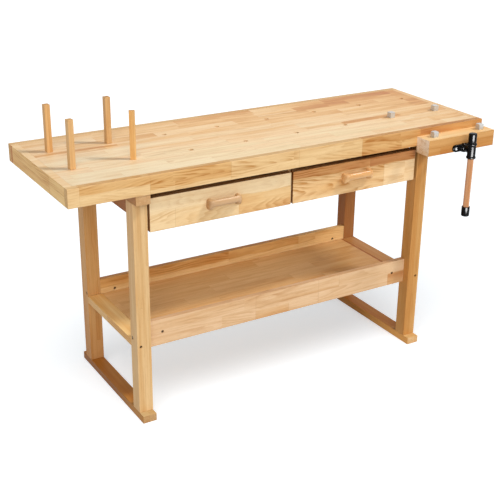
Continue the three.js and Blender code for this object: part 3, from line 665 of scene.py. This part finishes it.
LEFT_END_BLOCKS = (
    (-0.251, -0.11, -0.1, 0.1, 0.12, 1.1),
    (-0.11, 0.214, -0.1, 0.1, 0.5, 1.3),
    (0.214, 0.251, -0.1, 0.1, 1.4, 0.8),
)
# Painted light: the upper stave is made palest, to lift the shade of the front edge above it
LEFT_DRAWER_BLOCKS = (
    (-0.25, 0.25, -0.1, 0.1, 0.0, 0.5),
    (-0.25, -0.16, -0.1, 0.0098, 0.36, 1.3),
    (-0.16, 0.06, -0.1, 0.0098, 0.46, 0.7),
    (0.06, 0.25, -0.1, 0.0098, 0.85, 1.0),
)
# The upper bands are deep brown; the one on the right is deepened in part as painted shadow of the
# jaw
RIGHT_DRAWER_BLOCKS = (
    (-0.25, 0.12, -0.1, 0.1, 0.55, 1.3),
    (0.12, 0.25, -0.1, 0.1, 0.08, 0.5),
    (-0.25, 0.06, 0.026, 0.1, 1.15, 1.2),
    (0.06, 0.25, 0.022, 0.1, 1.4, 1.1),
)
FRONT_RAIL_BLOCKS = (
    (-0.51, -0.11, -0.1, 0.1, 0.3, 0.9),
    (-0.11, 0.14, -0.1, 0.1, 0.34, 1.3),
    (-0.11, 0.02, -0.1, -0.012, 0.7, 1.1),
    (0.44, 0.51, -0.1, 0.0, 0.95, 0.8),
)
BACK_RAIL_BLOCKS = (
    (-0.51, 0.3, -0.1, 0.1, 0.8, 1.2),
    (0.3, 0.51, -0.1, 0.1, 0.5, 0.9),
    (-0.51, 0.51, -0.1, 0.011, 0.12, 0.6),
)

# Painted shade: dark lines along both ends and the back of the shelf, where it meets the rails
SHELF_CREASE_SHADE = (
    (-0.51, -0.5008, -0.2, 0.2, 1.5, 1.0),
    (0.5008, 0.51, -0.2, 0.2, 1.5, 1.0),
    (-0.51, 0.51, 0.1722, 0.2, 1.5, 1.0),
)

# Painted shade at one end of a board: u of the full tint, u from which there is none, tint
# The top is darker towards its left end, as the light falls off there
TOP_DIM = (-0.76, -0.15, (0.92, 0.95, 1.0))
# The shelf is darker at its right end, which lies in shade
SHELF_DIM = (0.50, 0.10, (0.70, 0.65, 0.62))
# The left back leg is darker towards the bottom
LEFT_BACK_LEG_DIM = (-0.38, 0.0, (0.82, 0.70, 0.62))
# The feet are darker behind their front ends, and their tops behind the front stubs, in the shade
# under the bench and shelf
LEFT_FOOT_DIM = (0.0, -0.22, (0.66, 0.54, 0.50))
LEFT_FOOT_TOP_DIM = (-0.13, -0.215, (0.78, 0.49, 0.21))
RIGHT_FOOT_DIM = (0.08, -0.20, (0.62, 0.54, 0.46))
RIGHT_FOOT_TOP_DIM = (-0.13, -0.215, (0.44, 0.28, 0.14))

# Edges against a neighbour that stay sharp: axis, sign of its end
BACKWARDS, FORWARDS, RIGHTWARDS, LEFTWARDS = (1, 1), (1, -1), (0, 1), (0, -1)


def board(node, grain, across, mean, seed, bevel=0.0012, inner=None, **more):
    """Dresses a CAD board in wood of its own."""
    dress(node, wood(node + "_wood", node, grain, across, mean, seed, **more), bevel, inner)


def dress_top():
    board("top_panel", "X", "Y", TOP, 3.0, 0.0002, stave=0.0456, block=0.30, ring=0.5, line=0.16,
          slant=1.9, lean=0.35, bow=0.5, dim=TOP_DIM, patches=TOP_BLOCKS)
    board("front_apron", "X", "Z", EDGE, 8.0, 0.0016, BACKWARDS, stave=0.029, block=0.42, ring=0.8,
          line=0.3, cone=0.4, rings=0.009, warp=0.045, patches=FRONT_EDGE_BLOCKS)
    board("back_apron", "X", "Z", EDGE, 12.0, 0.0016, FORWARDS, stave=0.029, block=0.42)
    board("left_end_cap", "Y", "Z", END, 5.0, 0.0016, RIGHTWARDS, stave=0.08, ring=0.7,
          patches=LEFT_END_BLOCKS, cover=LEFT_END_TOP)
    board("right_end_cap", "Y", "Z", END, 6.0, 0.0016, LEFTWARDS, stave=0.08, spread=0.3,
          cover=RIGHT_END_TOP)
    board("middle_hanger", "Y", "Z", BOX, 66.0, 0.0008)
    for index, (peg, mean) in enumerate(PEGS.items()):
        board(peg + "_peg", "Z", "X", mean, 71.0 + index, 0.0010, ring=0.4)


def dress_trestles():
    legs = (("left_front", LEFT_FRONT_LEG, None), ("left_back", LEFT_BACK_LEG, LEFT_BACK_LEG_DIM),
            ("right_front", RIGHT_FRONT_LEG, None), ("right_back", RIGHT_BACK_LEG, None))
    for index, (place, mean, dim) in enumerate(legs):
        board(place + "_leg", "Z", "X", mean, 21.0 + index, stave=0.0158, block=1.4, ring=0.4,
              line=0.3, spread=0.5, dim=dim)
    feet = (("left", LEFT_FOOT, 26.0, LEFT_FOOT_END, LEFT_FOOT_DIM, LEFT_FOOT_TOP,
             LEFT_FOOT_TOP_DIM),
            ("right", RIGHT_FOOT, 46.0, RIGHT_FOOT_END, RIGHT_FOOT_DIM, RIGHT_FOOT_TOP,
             RIGHT_FOOT_TOP_DIM))
    for side, mean, seed, end, dim, top, top_dim in feet:
        tint = tuple(e / m for e, m in zip(end, mean))
        board(side + "_foot", "Y", "X", mean, seed, 0.0018, end_tint=tint, dim=dim, cover=top,
              cover_dim=top_dim, along=True)
    rails = (("left", LEFT_SIDE_RAIL, LEFT_SIDE_RAIL_TOP, 27.0, 28.0),
             ("right", RIGHT_SIDE_RAIL, RIGHT_SIDE_RAIL_TOP, 47.0, 48.0))
    for side, mean, top, seed, bearer_seed in rails:
        board(side + "_side_rail", "Y", "X", mean, seed, ring=0.3, streak=0.25, cover=top,
              along=True)
        board(side + "_bearer", "Y", "Z", BEARER, bearer_seed, stave=0.08, end_tint=BEARER_END_TINT)


def dress_drawers():
    for side, shift in (("left", 20.0), ("right", 40.0)):
        drawer = side + "_drawer_"
        # The runners and outer sides are painted shade, darker than the rest of the box
        board(side + "_runner", "Y", "Z", SHADED_SIDE, shift + 9, 0.0008, stave=0.05)
        board(drawer + "outer_side", "Y", "Z", SHADED_SIDE, shift + 10, 0.0008, stave=0.047,
              block=0.4)
        board(drawer + "inner_side", "Y", "Z", BOX, shift + 11, 0.0008, stave=0.047, block=0.4)
        board(drawer + "back", "X", "Z", BOX, shift + 12, 0.0008, stave=0.04, block=0.4)
        board(drawer + "floor", "X", "Y", BOX, shift + 13, 0.0005, stave=0.12, block=1.2)
    # The drawer fronts' top edges and ends are painted shade, as dark as the gaps round the drawers
    board("left_drawer_front", "X", "Z", LEFT_DRAWER, 35.0, 0.0014, stave=0.0635, start=0.0098,
          block=2.0, cone=0.5, rings=0.009, warp=0.05, patches=LEFT_DRAWER_BLOCKS, cover=DRAWER_GAP_SHADE,
          along=True, end_tint=DRAWER_GAP_SHADE_END_TINT)
    board("right_drawer_front", "X", "Z", RIGHT_DRAWER, 36.0, 0.0014, stave=0.0765, start=0.022,
          block=2.0, ring=0.9, cone=0.5, rings=0.010, warp=0.06, patches=RIGHT_DRAWER_BLOCKS,
          cover=DRAWER_GAP_SHADE, along=True, end_tint=DRAWER_GAP_SHADE_END_TINT)


def dress_shelf():
    board("front_rail", "X", "Z", FRONT_RAIL, 61.0, stave=0.044, block=0.38, ring=0.5, streak=0.65,
          cone=0.2, rings=0.009, warp=0.04, patches=FRONT_RAIL_BLOCKS)
    board("back_rail", "X", "Z", BACK_RAIL, 62.0, stave=0.044, block=0.38, patches=BACK_RAIL_BLOCKS)
    # Painted shade: the shelf darkens towards the front rail, in its shade
    board("shelf_panel", "X", "Y", SHELF, 63.0, 0.0020, stave=0.052, block=0.42, ring=0.45,
          line=0.25, slant=-1.6, lean=0.4, dim=SHELF_DIM, patches=SHELF_CREASE_SHADE)
    board("front_shelf_cleat", "X", "Y", BOX, 64.0, 0.0008, stave=0.05, block=1.2)
    board("back_shelf_cleat", "X", "Y", BOX, 65.0, 0.0008, stave=0.05, block=1.2)


def dress_vise():
    board("guide_block", "X", "Z", BOX, 67.0, stave=0.08)
    # The jaw's top face is painted light, paler than its front
    board("vise_jaw", "X", "Z", JAW, 68.0, 0.0018, stave=0.09, ring=0.5, streak=0.9, slant=-15.0,
          end_tint=JAW_END_TINT, cover=JAW_LIT_TOP, along=True)


# Drawer pulls, in metres
PULL_BAR = 0.0152
PULL_BAR_LOW = 0.013
PULL_FOOT = 0.019
PULL_BEND = 0.012
PULL_SIDES = 32
PULL_FOOT_STEPS, PULL_BEND_STEPS, PULL_BAR_STEPS = 4, 14, 6
PULL_FOOT_SQUARE, PULL_BAR_SQUARE = 0.70, 0.90


def pull_path(half, depth):
    """Stations (across, out, turn, share) from a foot's face round to the middle of the bar.

    turn is the angle of the outward side from the bench's left, and share is 0 on the feet and 1
    on the bar.
    """
    foot_x = half - PULL_FOOT / 2
    bend_y = depth - PULL_BAR / 2 - PULL_BEND
    stations = []
    for i in range(PULL_FOOT_STEPS):
        stations.append((-foot_x, bend_y * i / PULL_FOOT_STEPS, 0.0, 0.0))
    for i in range(PULL_BEND_STEPS + 1):
        share = i / PULL_BEND_STEPS
        angle = math.pi / 2 * share
        stations.append((PULL_BEND - foot_x - PULL_BEND * math.cos(angle),
                         bend_y + PULL_BEND * math.sin(angle), angle,
                         share * share * (3 - 2 * share)))
    bar_x = foot_x - PULL_BEND
    for i in range(1, PULL_BAR_STEPS + 1):
        stations.append((-bar_x * (1 - i / PULL_BAR_STEPS), depth - PULL_BAR / 2, math.pi / 2, 1.0))
    return stations


def pull_bow(node):
    """A round bar that bends back at both ends into taller feet."""
    low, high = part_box(node)
    middle = (low.x + high.x) / 2
    tall = high.z - low.z
    stations = pull_path((high.x - low.x) / 2, high.y - low.y)
    mirrored = [(-x, y, math.pi - turn, share) for x, y, turn, share in reversed(stations[:-1])]
    bm = bmesh.new()
    layers = []
    for x, y, turn, share in stations + mirrored:
        bottom = PULL_BAR_LOW * share
        half_width = (PULL_FOOT + (PULL_BAR - PULL_FOOT) * share) / 2
        half_height = (tall - bottom) / 2
        square = PULL_FOOT_SQUARE + (PULL_BAR_SQUARE - PULL_FOOT_SQUARE) * share
        layer = []
        for i in range(PULL_SIDES):
            angle = math.tau * i / PULL_SIDES
            cosine, sine = math.cos(angle), math.sin(angle)
            across = math.copysign(abs(cosine) ** square, cosine) * half_width
            up = math.copysign(abs(sine) ** square, sine) * half_height
            layer.append(bm.verts.new((middle + x - across * math.cos(turn),
                                       high.y - y - across * math.sin(turn),
                                       low.z + bottom + half_height + up)))
        layers.append(layer)
    skin(bm, layers)
    return bm


def make_pulls():
    for side, mean, seed in (("left", LEFT_PULL, 81.0), ("right", RIGHT_PULL, 82.0)):
        node = side + "_drawer_pull"
        material = wood(side + "_pull_wood", node, "X", "Z", mean, seed, stave=0.05, block=0.6,
                        ring=0.4, gloss=0.5, rough=0.24)
        add_object(side + "_pull", pull_bow(node), side + "_drawer", material, (node,))


# Vise screw and guide rods
THREAD_PITCH = 0.005
THREAD_DEPTH = 0.0016
THREAD_SIDES = 24
THREAD_SHAPE = ((0.0, True), (0.28, True), (0.45, False), (0.83, False))
THREAD_START, THREAD_END = 0.010, 0.006
ROD_SIDES = 36


def make_screw(material):
    """The vise screw: a plain shank and a trapezoid thread that starts inside the jaw.

    THREAD_SHAPE gives places along one turn, and whether each is on the crest or in the root.
    """
    low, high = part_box("vise_screw")
    x, z = (low.x + high.x) / 2, (low.z + high.z) / 2
    outer = (high.x - low.x) / 2
    root = outer - THREAD_DEPTH
    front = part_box("vise_jaw")[0].y + THREAD_START
    step = THREAD_PITCH / THREAD_SIDES
    turns = int((high.y - THREAD_END - front) / THREAD_PITCH)
    bm = bmesh.new()
    spiral = []
    for turn in range(turns):
        for i in range(THREAD_SIDES):
            angle = math.tau * i / THREAD_SIDES
            row = []
            for share, crest in THREAD_SHAPE:
                radius = outer if crest else root
                y = front + (turn + share) * THREAD_PITCH + i * step
                row.append(bm.verts.new((x + radius * math.cos(angle), y,
                                         z + radius * math.sin(angle))))
            spiral.append(row)
    for a, b in zip(spiral, spiral[1:]):
        for k in range(3):
            bm.faces.new((a[k], b[k], b[k + 1], a[k + 1]))
    for i in range(len(spiral) - THREAD_SIDES - 1):
        a, b = spiral[i], spiral[i + 1]
        c, d = spiral[i + THREAD_SIDES], spiral[i + THREAD_SIDES + 1]
        bm.faces.new((a[3], b[3], d[0], c[0]))
    shank = front - low.y
    length = high.y - low.y
    lathe(bm, [(0, 0), (0, outer - CHAMFER / 2), (CHAMFER / 2, outer),
               (shank + THREAD_PITCH * 0.6, outer), (shank + THREAD_PITCH * 1.2, root),
               (length - CHAMFER, root), (length, root - CHAMFER), (length, 0)],
          (x, low.y, z), (0, 1, 0), ROD_SIDES)
    add_object("screw_thread", bm, "screw", material, ("vise_screw",))


def make_rods(material):
    """Guide rods with a rounded front end and a chamfer at the back."""
    for side in ("left", "right"):
        node = side + "_guide_rod"
        low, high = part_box(node)
        r = (high.x - low.x) / 2
        length = high.y - low.y
        bm = bmesh.new()
        lathe(bm, [(0, 0)] + rounded((0, r - CHAMFER), (CHAMFER, r), 3)
              + [(length - 0.002, r), (length, r - 0.0018), (length, 0)],
              ((low.x + high.x) / 2, low.y, (low.z + high.z) / 2), (0, 1, 0), ROD_SIDES)
        add_object(side + "_rod", bm, "jaw", material, (node,))


# Hub of the vise screw
HUB_BORE = 0.0113
HUB_WAIST = 0.0142
HUB_NECK = 0.0125
HUB_NECK_START = 0.0118
HUB_ROUND = 0.0015


def make_hub(material):
    """An upright sleeve with rims, on a neck in line with the screw."""
    low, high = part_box("screw_hub")
    x, z = (low.x + high.x) / 2, (low.z + high.z) / 2
    rim = (high.x - low.x) / 2
    y = low.y + rim
    half = (high.z - low.z) / 2
    bm = bmesh.new()
    profile = [(-half + 0.0006, HUB_BORE), (-half, HUB_BORE + 0.0006)]
    profile += rounded((-half, rim - HUB_ROUND), (-half + HUB_ROUND, rim), 3)
    profile += [(-half + 0.0052, rim), (-half + 0.0062, rim - 0.0006),
                (-half + 0.0078, HUB_WAIST + 0.0002), (-half + 0.0092, HUB_WAIST)]
    profile += [(-a, r) for a, r in reversed(profile)]
    profile.append(profile[0])
    lathe(bm, profile, (x, y, z), (0, 0, 1), 56)
    swell = HUB_WAIST - 0.004
    reach = high.y - y
    slim = HUB_NECK - 0.0018
    lathe(bm, [(HUB_NECK_START, 0.0), (HUB_NECK_START, HUB_NECK - 0.0012), (swell, HUB_NECK),
               (swell + 0.004, slim), (reach - 0.006, slim), (reach - 0.0045, HUB_NECK),
               (reach - CHAMFER, HUB_NECK), (reach, HUB_NECK - CHAMFER), (reach, 0.0)],
          (x, y, z), (0, 1, 0))
    return add_object("hub_casting", bm, "screw", material, ("screw_hub",))


# Collar on the front of the jaw
COLLAR_EAR = 0.012
COLLAR_PLATE = 0.008
COLLAR_BOSS = 0.015
COLLAR_ROUND = 0.002
COLLAR_ROUND_STEPS, COLLAR_EAR_STEPS = 4, 14
COLLAR_SCREW_R, COLLAR_SCREW_HIGH = 0.0056, 0.0032


def make_collar(material, bright):
    """A plate with two ears and a stepped boss, held by two screws."""
    low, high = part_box("screw_collar")
    x, z = (low.x + high.x) / 2, (low.z + high.z) / 2
    ear_x = (high.x - low.x) / 2 - COLLAR_EAR
    levels = [(0.0, 0.0), (COLLAR_ROUND - COLLAR_PLATE, 0.0)]
    for i in range(1, COLLAR_ROUND_STEPS + 1):
        angle = math.pi / 2 * i / COLLAR_ROUND_STEPS
        levels.append((COLLAR_ROUND * (1 - math.sin(angle)) - COLLAR_PLATE,
                       COLLAR_ROUND * (1 - math.cos(angle))))
    bm = bmesh.new()
    layers = []
    for y, inset in levels:
        layer = []
        for sign in (1, -1):
            for i in range(COLLAR_EAR_STEPS + 1):
                angle = math.pi * (i / COLLAR_EAR_STEPS - 0.5)
                px = sign * (ear_x + (COLLAR_EAR - inset) * math.cos(angle))
                pz = sign * (COLLAR_EAR - inset) * math.sin(angle)
                layer.append(bm.verts.new((x + px, high.y + y, z + pz)))
        layers.append(layer)
    skin(bm, layers)
    depth = high.y - low.y
    lathe(bm, [(0.004, 0.0), (0.004, COLLAR_BOSS), (COLLAR_PLATE + 0.0005, COLLAR_BOSS),
               (COLLAR_PLATE + 0.0012, COLLAR_BOSS - 0.0006),
               (depth - 0.0012, COLLAR_BOSS - 0.0006), (depth, COLLAR_BOSS - 0.0018),
               (depth, 0.0)], (x, high.y, z), (0, -1, 0))
    collar = add_object("collar_casting", bm, "jaw", material, ("screw_collar",))
    for index, sign in enumerate((-1, 1)):
        bm = bmesh.new()
        round_head(bm, (x + sign * ear_x, high.y - COLLAR_PLATE + 0.0003, z), (0, -1, 0),
                   COLLAR_SCREW_R, COLLAR_SCREW_HIGH)
        add_object(f"collar_screw_{index}", bm, "jaw", bright)
    return collar


# Caps of the vise handle
CAP_BORE = 0.0108
CAP_BORE_DEPTH = 0.028
CAP_ROUND, CAP_LIP = 0.0035, 0.0012


def make_handle(material):
    """The wooden handle bar and the round caps on its ends."""
    low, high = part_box("handle_dowel")
    x, y = (low.x + high.x) / 2, (low.y + high.y) / 2
    r = (high.x - low.x) / 2
    length = high.z - low.z
    bm = bmesh.new()
    lathe(bm, [(0, 0), (0, r - CHAMFER), (CHAMFER, r), (length - CHAMFER, r), (length, r - CHAMFER),
               (length, 0)], (x, y, low.z), (0, 0, 1))
    grain = wood("handle_wood", "handle_dowel", "Z", "X", HANDLE, 91.0, ring=0.4)
    add_object("handle_bar", bm, "handle", grain, ("handle_dowel",))
    caps = []
    for place, up in (("top", 1), ("bottom", -1)):
        node = f"handle_{place}_cap"
        low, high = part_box(node)
        cap = (high.x - low.x) / 2
        tall = high.z - low.z
        profile = [(CAP_BORE_DEPTH, 0.0), (CAP_BORE_DEPTH, CAP_BORE), (0.0006, CAP_BORE),
                   (0.0, CAP_BORE + 0.0006)]
        profile += rounded((0.0, cap - CAP_LIP), (CAP_LIP, cap), 3)
        profile += rounded((tall - CAP_ROUND, cap), (tall, cap - CAP_ROUND), 5)
        profile += [(tall, 0.0)]
        bm = bmesh.new()
        lathe(bm, profile, (x, y, low.z if up > 0 else high.z), (0, 0, up))
        caps.append(add_object(f"handle_{place}_ferrule", bm, "handle", material,
                               (node,)))
    return caps


# Heads and ends of the fasteners. The dish is given as shares of a head's radius and height
HEAD_SIDES = 32
DOME_STEPS, DOME_POWER = 6, 0.6
DISH_EDGE, DISH_FLOOR, DISH_LEVEL = 0.28, 0.2, 0.55


def round_head(bm, place, axis, radius, height):
    """A low domed screw head with a dished middle."""
    profile = [(0.0, 0.0), (0.0, radius)]
    for i in range(1, DOME_STEPS):
        angle = math.pi / 2 * i / DOME_STEPS
        profile.append((height * math.sin(angle), radius * math.cos(angle) ** DOME_POWER))
    profile += [(height, radius * DISH_EDGE), (height * DISH_LEVEL, radius * DISH_FLOOR),
                (height * DISH_LEVEL, 0.0)]
    lathe(bm, profile, place, axis, HEAD_SIDES)


SLOT, SLOT_DEEP = 0.0014, 0.0014
SLOT_STEPS = 14


def slotted_plug(bm, place, out, radius, deep):
    """The end of a barrel nut along Y: a round plug with a screwdriver slot across it."""
    place = Vector(place)
    inner = place - Vector((0, out * SLOT_DEEP, 0))
    lathe(bm, [(0.0, 0.0), (0.0, radius), (deep, radius), (deep, 0.0)], inner, (0, -out, 0),
          HEAD_SIDES)
    reach = math.asin(SLOT / 2 / radius)
    for sign in (1, -1):
        layers = []
        for y in (0.0, SLOT_DEEP):
            layer = []
            for i in range(SLOT_STEPS + 1):
                angle = reach + (math.pi - 2 * reach) * i / SLOT_STEPS
                layer.append(bm.verts.new(inner + Vector((radius * math.cos(angle), out * y,
                                                          sign * radius * math.sin(angle)))))
            layers.append(layer)
        skin(bm, layers)


SOCKET, SOCKET_DEEP = 0.0028, 0.003
SOCKET_POINTS = 6
HEAD_EDGE = 0.0005


def socket_head(bm, place, out, radius, deep):
    """A bolt head along Y with a six-sided socket. SOCKET_POINTS lie on each of its sides."""
    place = Vector(place)
    count = 6 * SOCKET_POINTS

    def spoke(share):
        return Vector((math.cos(math.tau * share), 0, math.sin(math.tau * share)))

    def circle(r, y):
        height = place + Vector((0, out * y, 0))
        return [bm.verts.new(height + spoke(i / count) * r) for i in range(count)]

    def hexagon(r, y):
        height = place + Vector((0, out * y, 0))
        points = []
        for i in range(count):
            side, along = divmod(i, SOCKET_POINTS)
            edge = spoke(side / 6).lerp(spoke((side + 1) / 6), along / SOCKET_POINTS)
            points.append(bm.verts.new(height + edge * r))
        return points

    skin(bm, [circle(radius, -deep), circle(radius, -HEAD_EDGE), circle(radius - HEAD_EDGE, 0.0),
              hexagon(SOCKET, 0.0), hexagon(SOCKET, -SOCKET_DEEP)])


# Barrel nuts and side bolts
BARREL_X = 0.4555
BARREL_Z = 0.279
BARREL_R = 0.0048
BARREL_DEEP = 0.003
BARREL_SUNK = 0.0035
SIDE_BOLT_X = 0.543
SIDE_BOLT_Z = 0.260
SIDE_BOLT_R = 0.0042
SIDE_BOLT_DEEP = 0.006
SIDE_BOLT_SUNK = 0.004


# The barrel nuts and side bolts are painted shade, a dark brown steel as deep as their holes
def make_fasteners(sunk_shade, dark):
    """Rail bolts, and the barrel nuts and side bolts that only show as round ends."""
    for sign, side in ((-1, "left"), (1, "right")):
        for place, out in (("front", -1), ("back", 1)):
            spot = f"{side}_{place}_"
            dress(spot + "rail_bolt", dark, 0.0005)
            low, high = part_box(place + "_rail")
            bm = bmesh.new()
            x = sign * BARREL_X
            slotted_plug(bm, (x, low.y + BARREL_SUNK, BARREL_Z), -1, BARREL_R, BARREL_DEEP)
            slotted_plug(bm, (x, high.y - BARREL_SUNK, BARREL_Z), 1, BARREL_R, BARREL_DEEP)
            add_object(spot + "barrel_nut", bm, "bench", sunk_shade)
            low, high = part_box(spot + "leg")
            face = low.y if out < 0 else high.y
            bm = bmesh.new()
            socket_head(bm, (sign * SIDE_BOLT_X, face - out * SIDE_BOLT_SUNK, SIDE_BOLT_Z), out,
                        SIDE_BOLT_R, SIDE_BOLT_DEEP)
            add_object(spot + "side_bolt", bm, "bench", sunk_shade)


def make_metal():
    black = black_gloss("black_casting")
    bright = steel("bright_steel")
    pale = steel("pale_steel", PALE_STEEL, 0.25, metal=0.45)
    turned = steel("turned_steel", brush=TURNED)
    make_screw(turned)
    make_rods(turned)
    castings = [make_hub(black), make_collar(black, bright)]
    castings += make_handle(black_gloss("black_cap", 0.12, 0.03))
    dress("screw_nut", black, 0.001)
    for dog in ("top_inner_dog", "top_outer_dog", "jaw_inner_dog", "jaw_outer_dog"):
        dress(dog, pale)
    make_fasteners(steel("sunk_shade_steel", SUNK_SHADE_STEEL, 0.37), steel("dark_steel", DARK_STEEL, 0.40))
    return castings


# Lamps, floor and surroundings
WORLD_LIGHT = 0.33
KEY_LIGHT = 1.8
KEY_SPREAD = math.radians(9)
KEY_FROM = Vector((0.86, -0.51, 1.12))
FILL_LIGHT = 1.5
FILL_SPREAD = math.radians(38)
FILL_FROM = Vector((-1.15, -2.45, 1.35))
STRIP_LIGHT = 500.0
STRIP_PLACE = Vector((0.10, -2.05, 0.28))
STRIP_AIM = Vector((0.62, -0.30, 0.75))
STRIP_SIZE = (1.5, 1.0)
OVERHEAD_LIGHT = 1.75
OVERHEAD_SPREAD = math.radians(45)
OVERHEAD_FROM = Vector((-0.2, -0.395, 1.0))
FLOOR_SIZE = 40.0
FLOOR_MOTTLE = (3.0,) * 3
FLOOR_GREYS = ((0.79, 0.80, 0.81), (0.81, 0.82, 0.83))
FLOOR_GLOW = 0.525
FLOOR_TINT = (0.88, 0.95, 1.0)


def seen_rays(t):
    """1 for the rays that look at a surface instead of lighting it."""
    rays = t.node("ShaderNodeLightPath").outputs
    seen = t.add(rays["Is Camera Ray"], rays["Is Glossy Ray"])
    return t.math("MINIMUM", t.add(seen, rays["Is Transmission Ray"]), 1.0)


def make_floor():
    """A pale floor that keeps the shadow, and whose glow is only seen and lights nothing."""
    bm = bmesh.new()
    bmesh.ops.create_grid(bm, x_segments=1, y_segments=1, size=FLOOR_SIZE)
    mesh = bpy.data.meshes.new("floor")
    bm.to_mesh(mesh)
    bm.free()
    floor = bpy.data.objects.new("floor", mesh)
    scene.collection.objects.link(floor)
    t = Tree(bpy.data.materials.new("floor_white"))
    mottle = t.noise(t.coordinates()[0], FLOOR_MOTTLE, 2.0)
    matte = t.node("ShaderNodeBsdfDiffuse")
    t.put(matte.inputs["Color"], t.mix(mottle, *FLOOR_GREYS))
    glow = t.node("ShaderNodeEmission")
    t.fill(glow, FLOOR_TINT, t.mul(seen_rays(t), FLOOR_GLOW))
    both = t.fill(t.node("ShaderNodeAddShader"), matte.outputs[0], glow.outputs[0])
    t.show(both, "ShaderNodeOutputMaterial")
    mesh.materials.append(t.owner)
    return floor


def make_world():
    """White surroundings that light the bench less than they show."""
    world = bpy.data.worlds.new("studio")
    scene.world = world
    t = Tree(world)
    level = t.ramp(seen_rays(t), 0.0, 1.0, WORLD_LIGHT, 1.0)
    sky = t.fill(t.node("ShaderNodeBackground"), (1.0, 1.0, 1.0), level)
    t.show(sky, "ShaderNodeOutputWorld")


def chosen(name, objects, state):
    """A collection for light linking that includes or excludes its objects."""
    collection = bpy.data.collections.new(name)
    for obj in objects:
        collection.objects.link(obj)
    for entry in collection.collection_objects:
        entry.light_linking.link_state = state
    return collection


def add_lamp(name, kind, power, receivers, state):
    """A lamp that lights only the receivers, or all but them."""
    data = bpy.data.lights.new(name, kind)
    data.energy = power
    lamp = bpy.data.objects.new(name, data)
    scene.collection.objects.link(lamp)
    lamp.light_linking.receiver_collection = chosen(name + "_receivers", receivers, state)
    return lamp


def add_sun(name, power, spread, direction, receivers, state):
    """Light from one direction, softened by spread."""
    lamp = add_lamp(name, "SUN", power, receivers, state)
    lamp.data.angle = spread
    lamp.rotation_euler = direction.to_track_quat("Z", "Y").to_euler()
    return lamp


def make_lamps(floor, castings):
    """A key from the right and a broad fill from the upper left, which leave out the floor, a low
    strip that shines on the black castings alone, and an overhead lamp for the floor alone.

    The jaw and the castings cast no shadow in the key's light.
    """
    key = add_sun("key", KEY_LIGHT, KEY_SPREAD, KEY_FROM, [floor], "EXCLUDE")
    blockers = chosen("key_blockers", [nodes["vise_jaw"]] + castings, "EXCLUDE")
    key.light_linking.blocker_collection = blockers
    add_sun("fill", FILL_LIGHT, FILL_SPREAD, FILL_FROM, [floor], "EXCLUDE")
    strip = add_lamp("strip", "AREA", STRIP_LIGHT, castings, "INCLUDE")
    strip.data.shape = "RECTANGLE"
    strip.data.size, strip.data.size_y = STRIP_SIZE
    strip.location = STRIP_PLACE
    strip.rotation_euler = (STRIP_AIM - STRIP_PLACE).to_track_quat("-Z", "Y").to_euler()
    add_sun("overhead", OVERHEAD_LIGHT, OVERHEAD_SPREAD, OVERHEAD_FROM, [floor], "INCLUDE")


make_camera()
dress_top()
dress_trestles()
dress_drawers()
dress_shelf()
dress_vise()
make_pulls()
castings = make_metal()
make_world()
make_lamps(make_floor(), castings)
scene.view_settings.view_transform = "Standard"
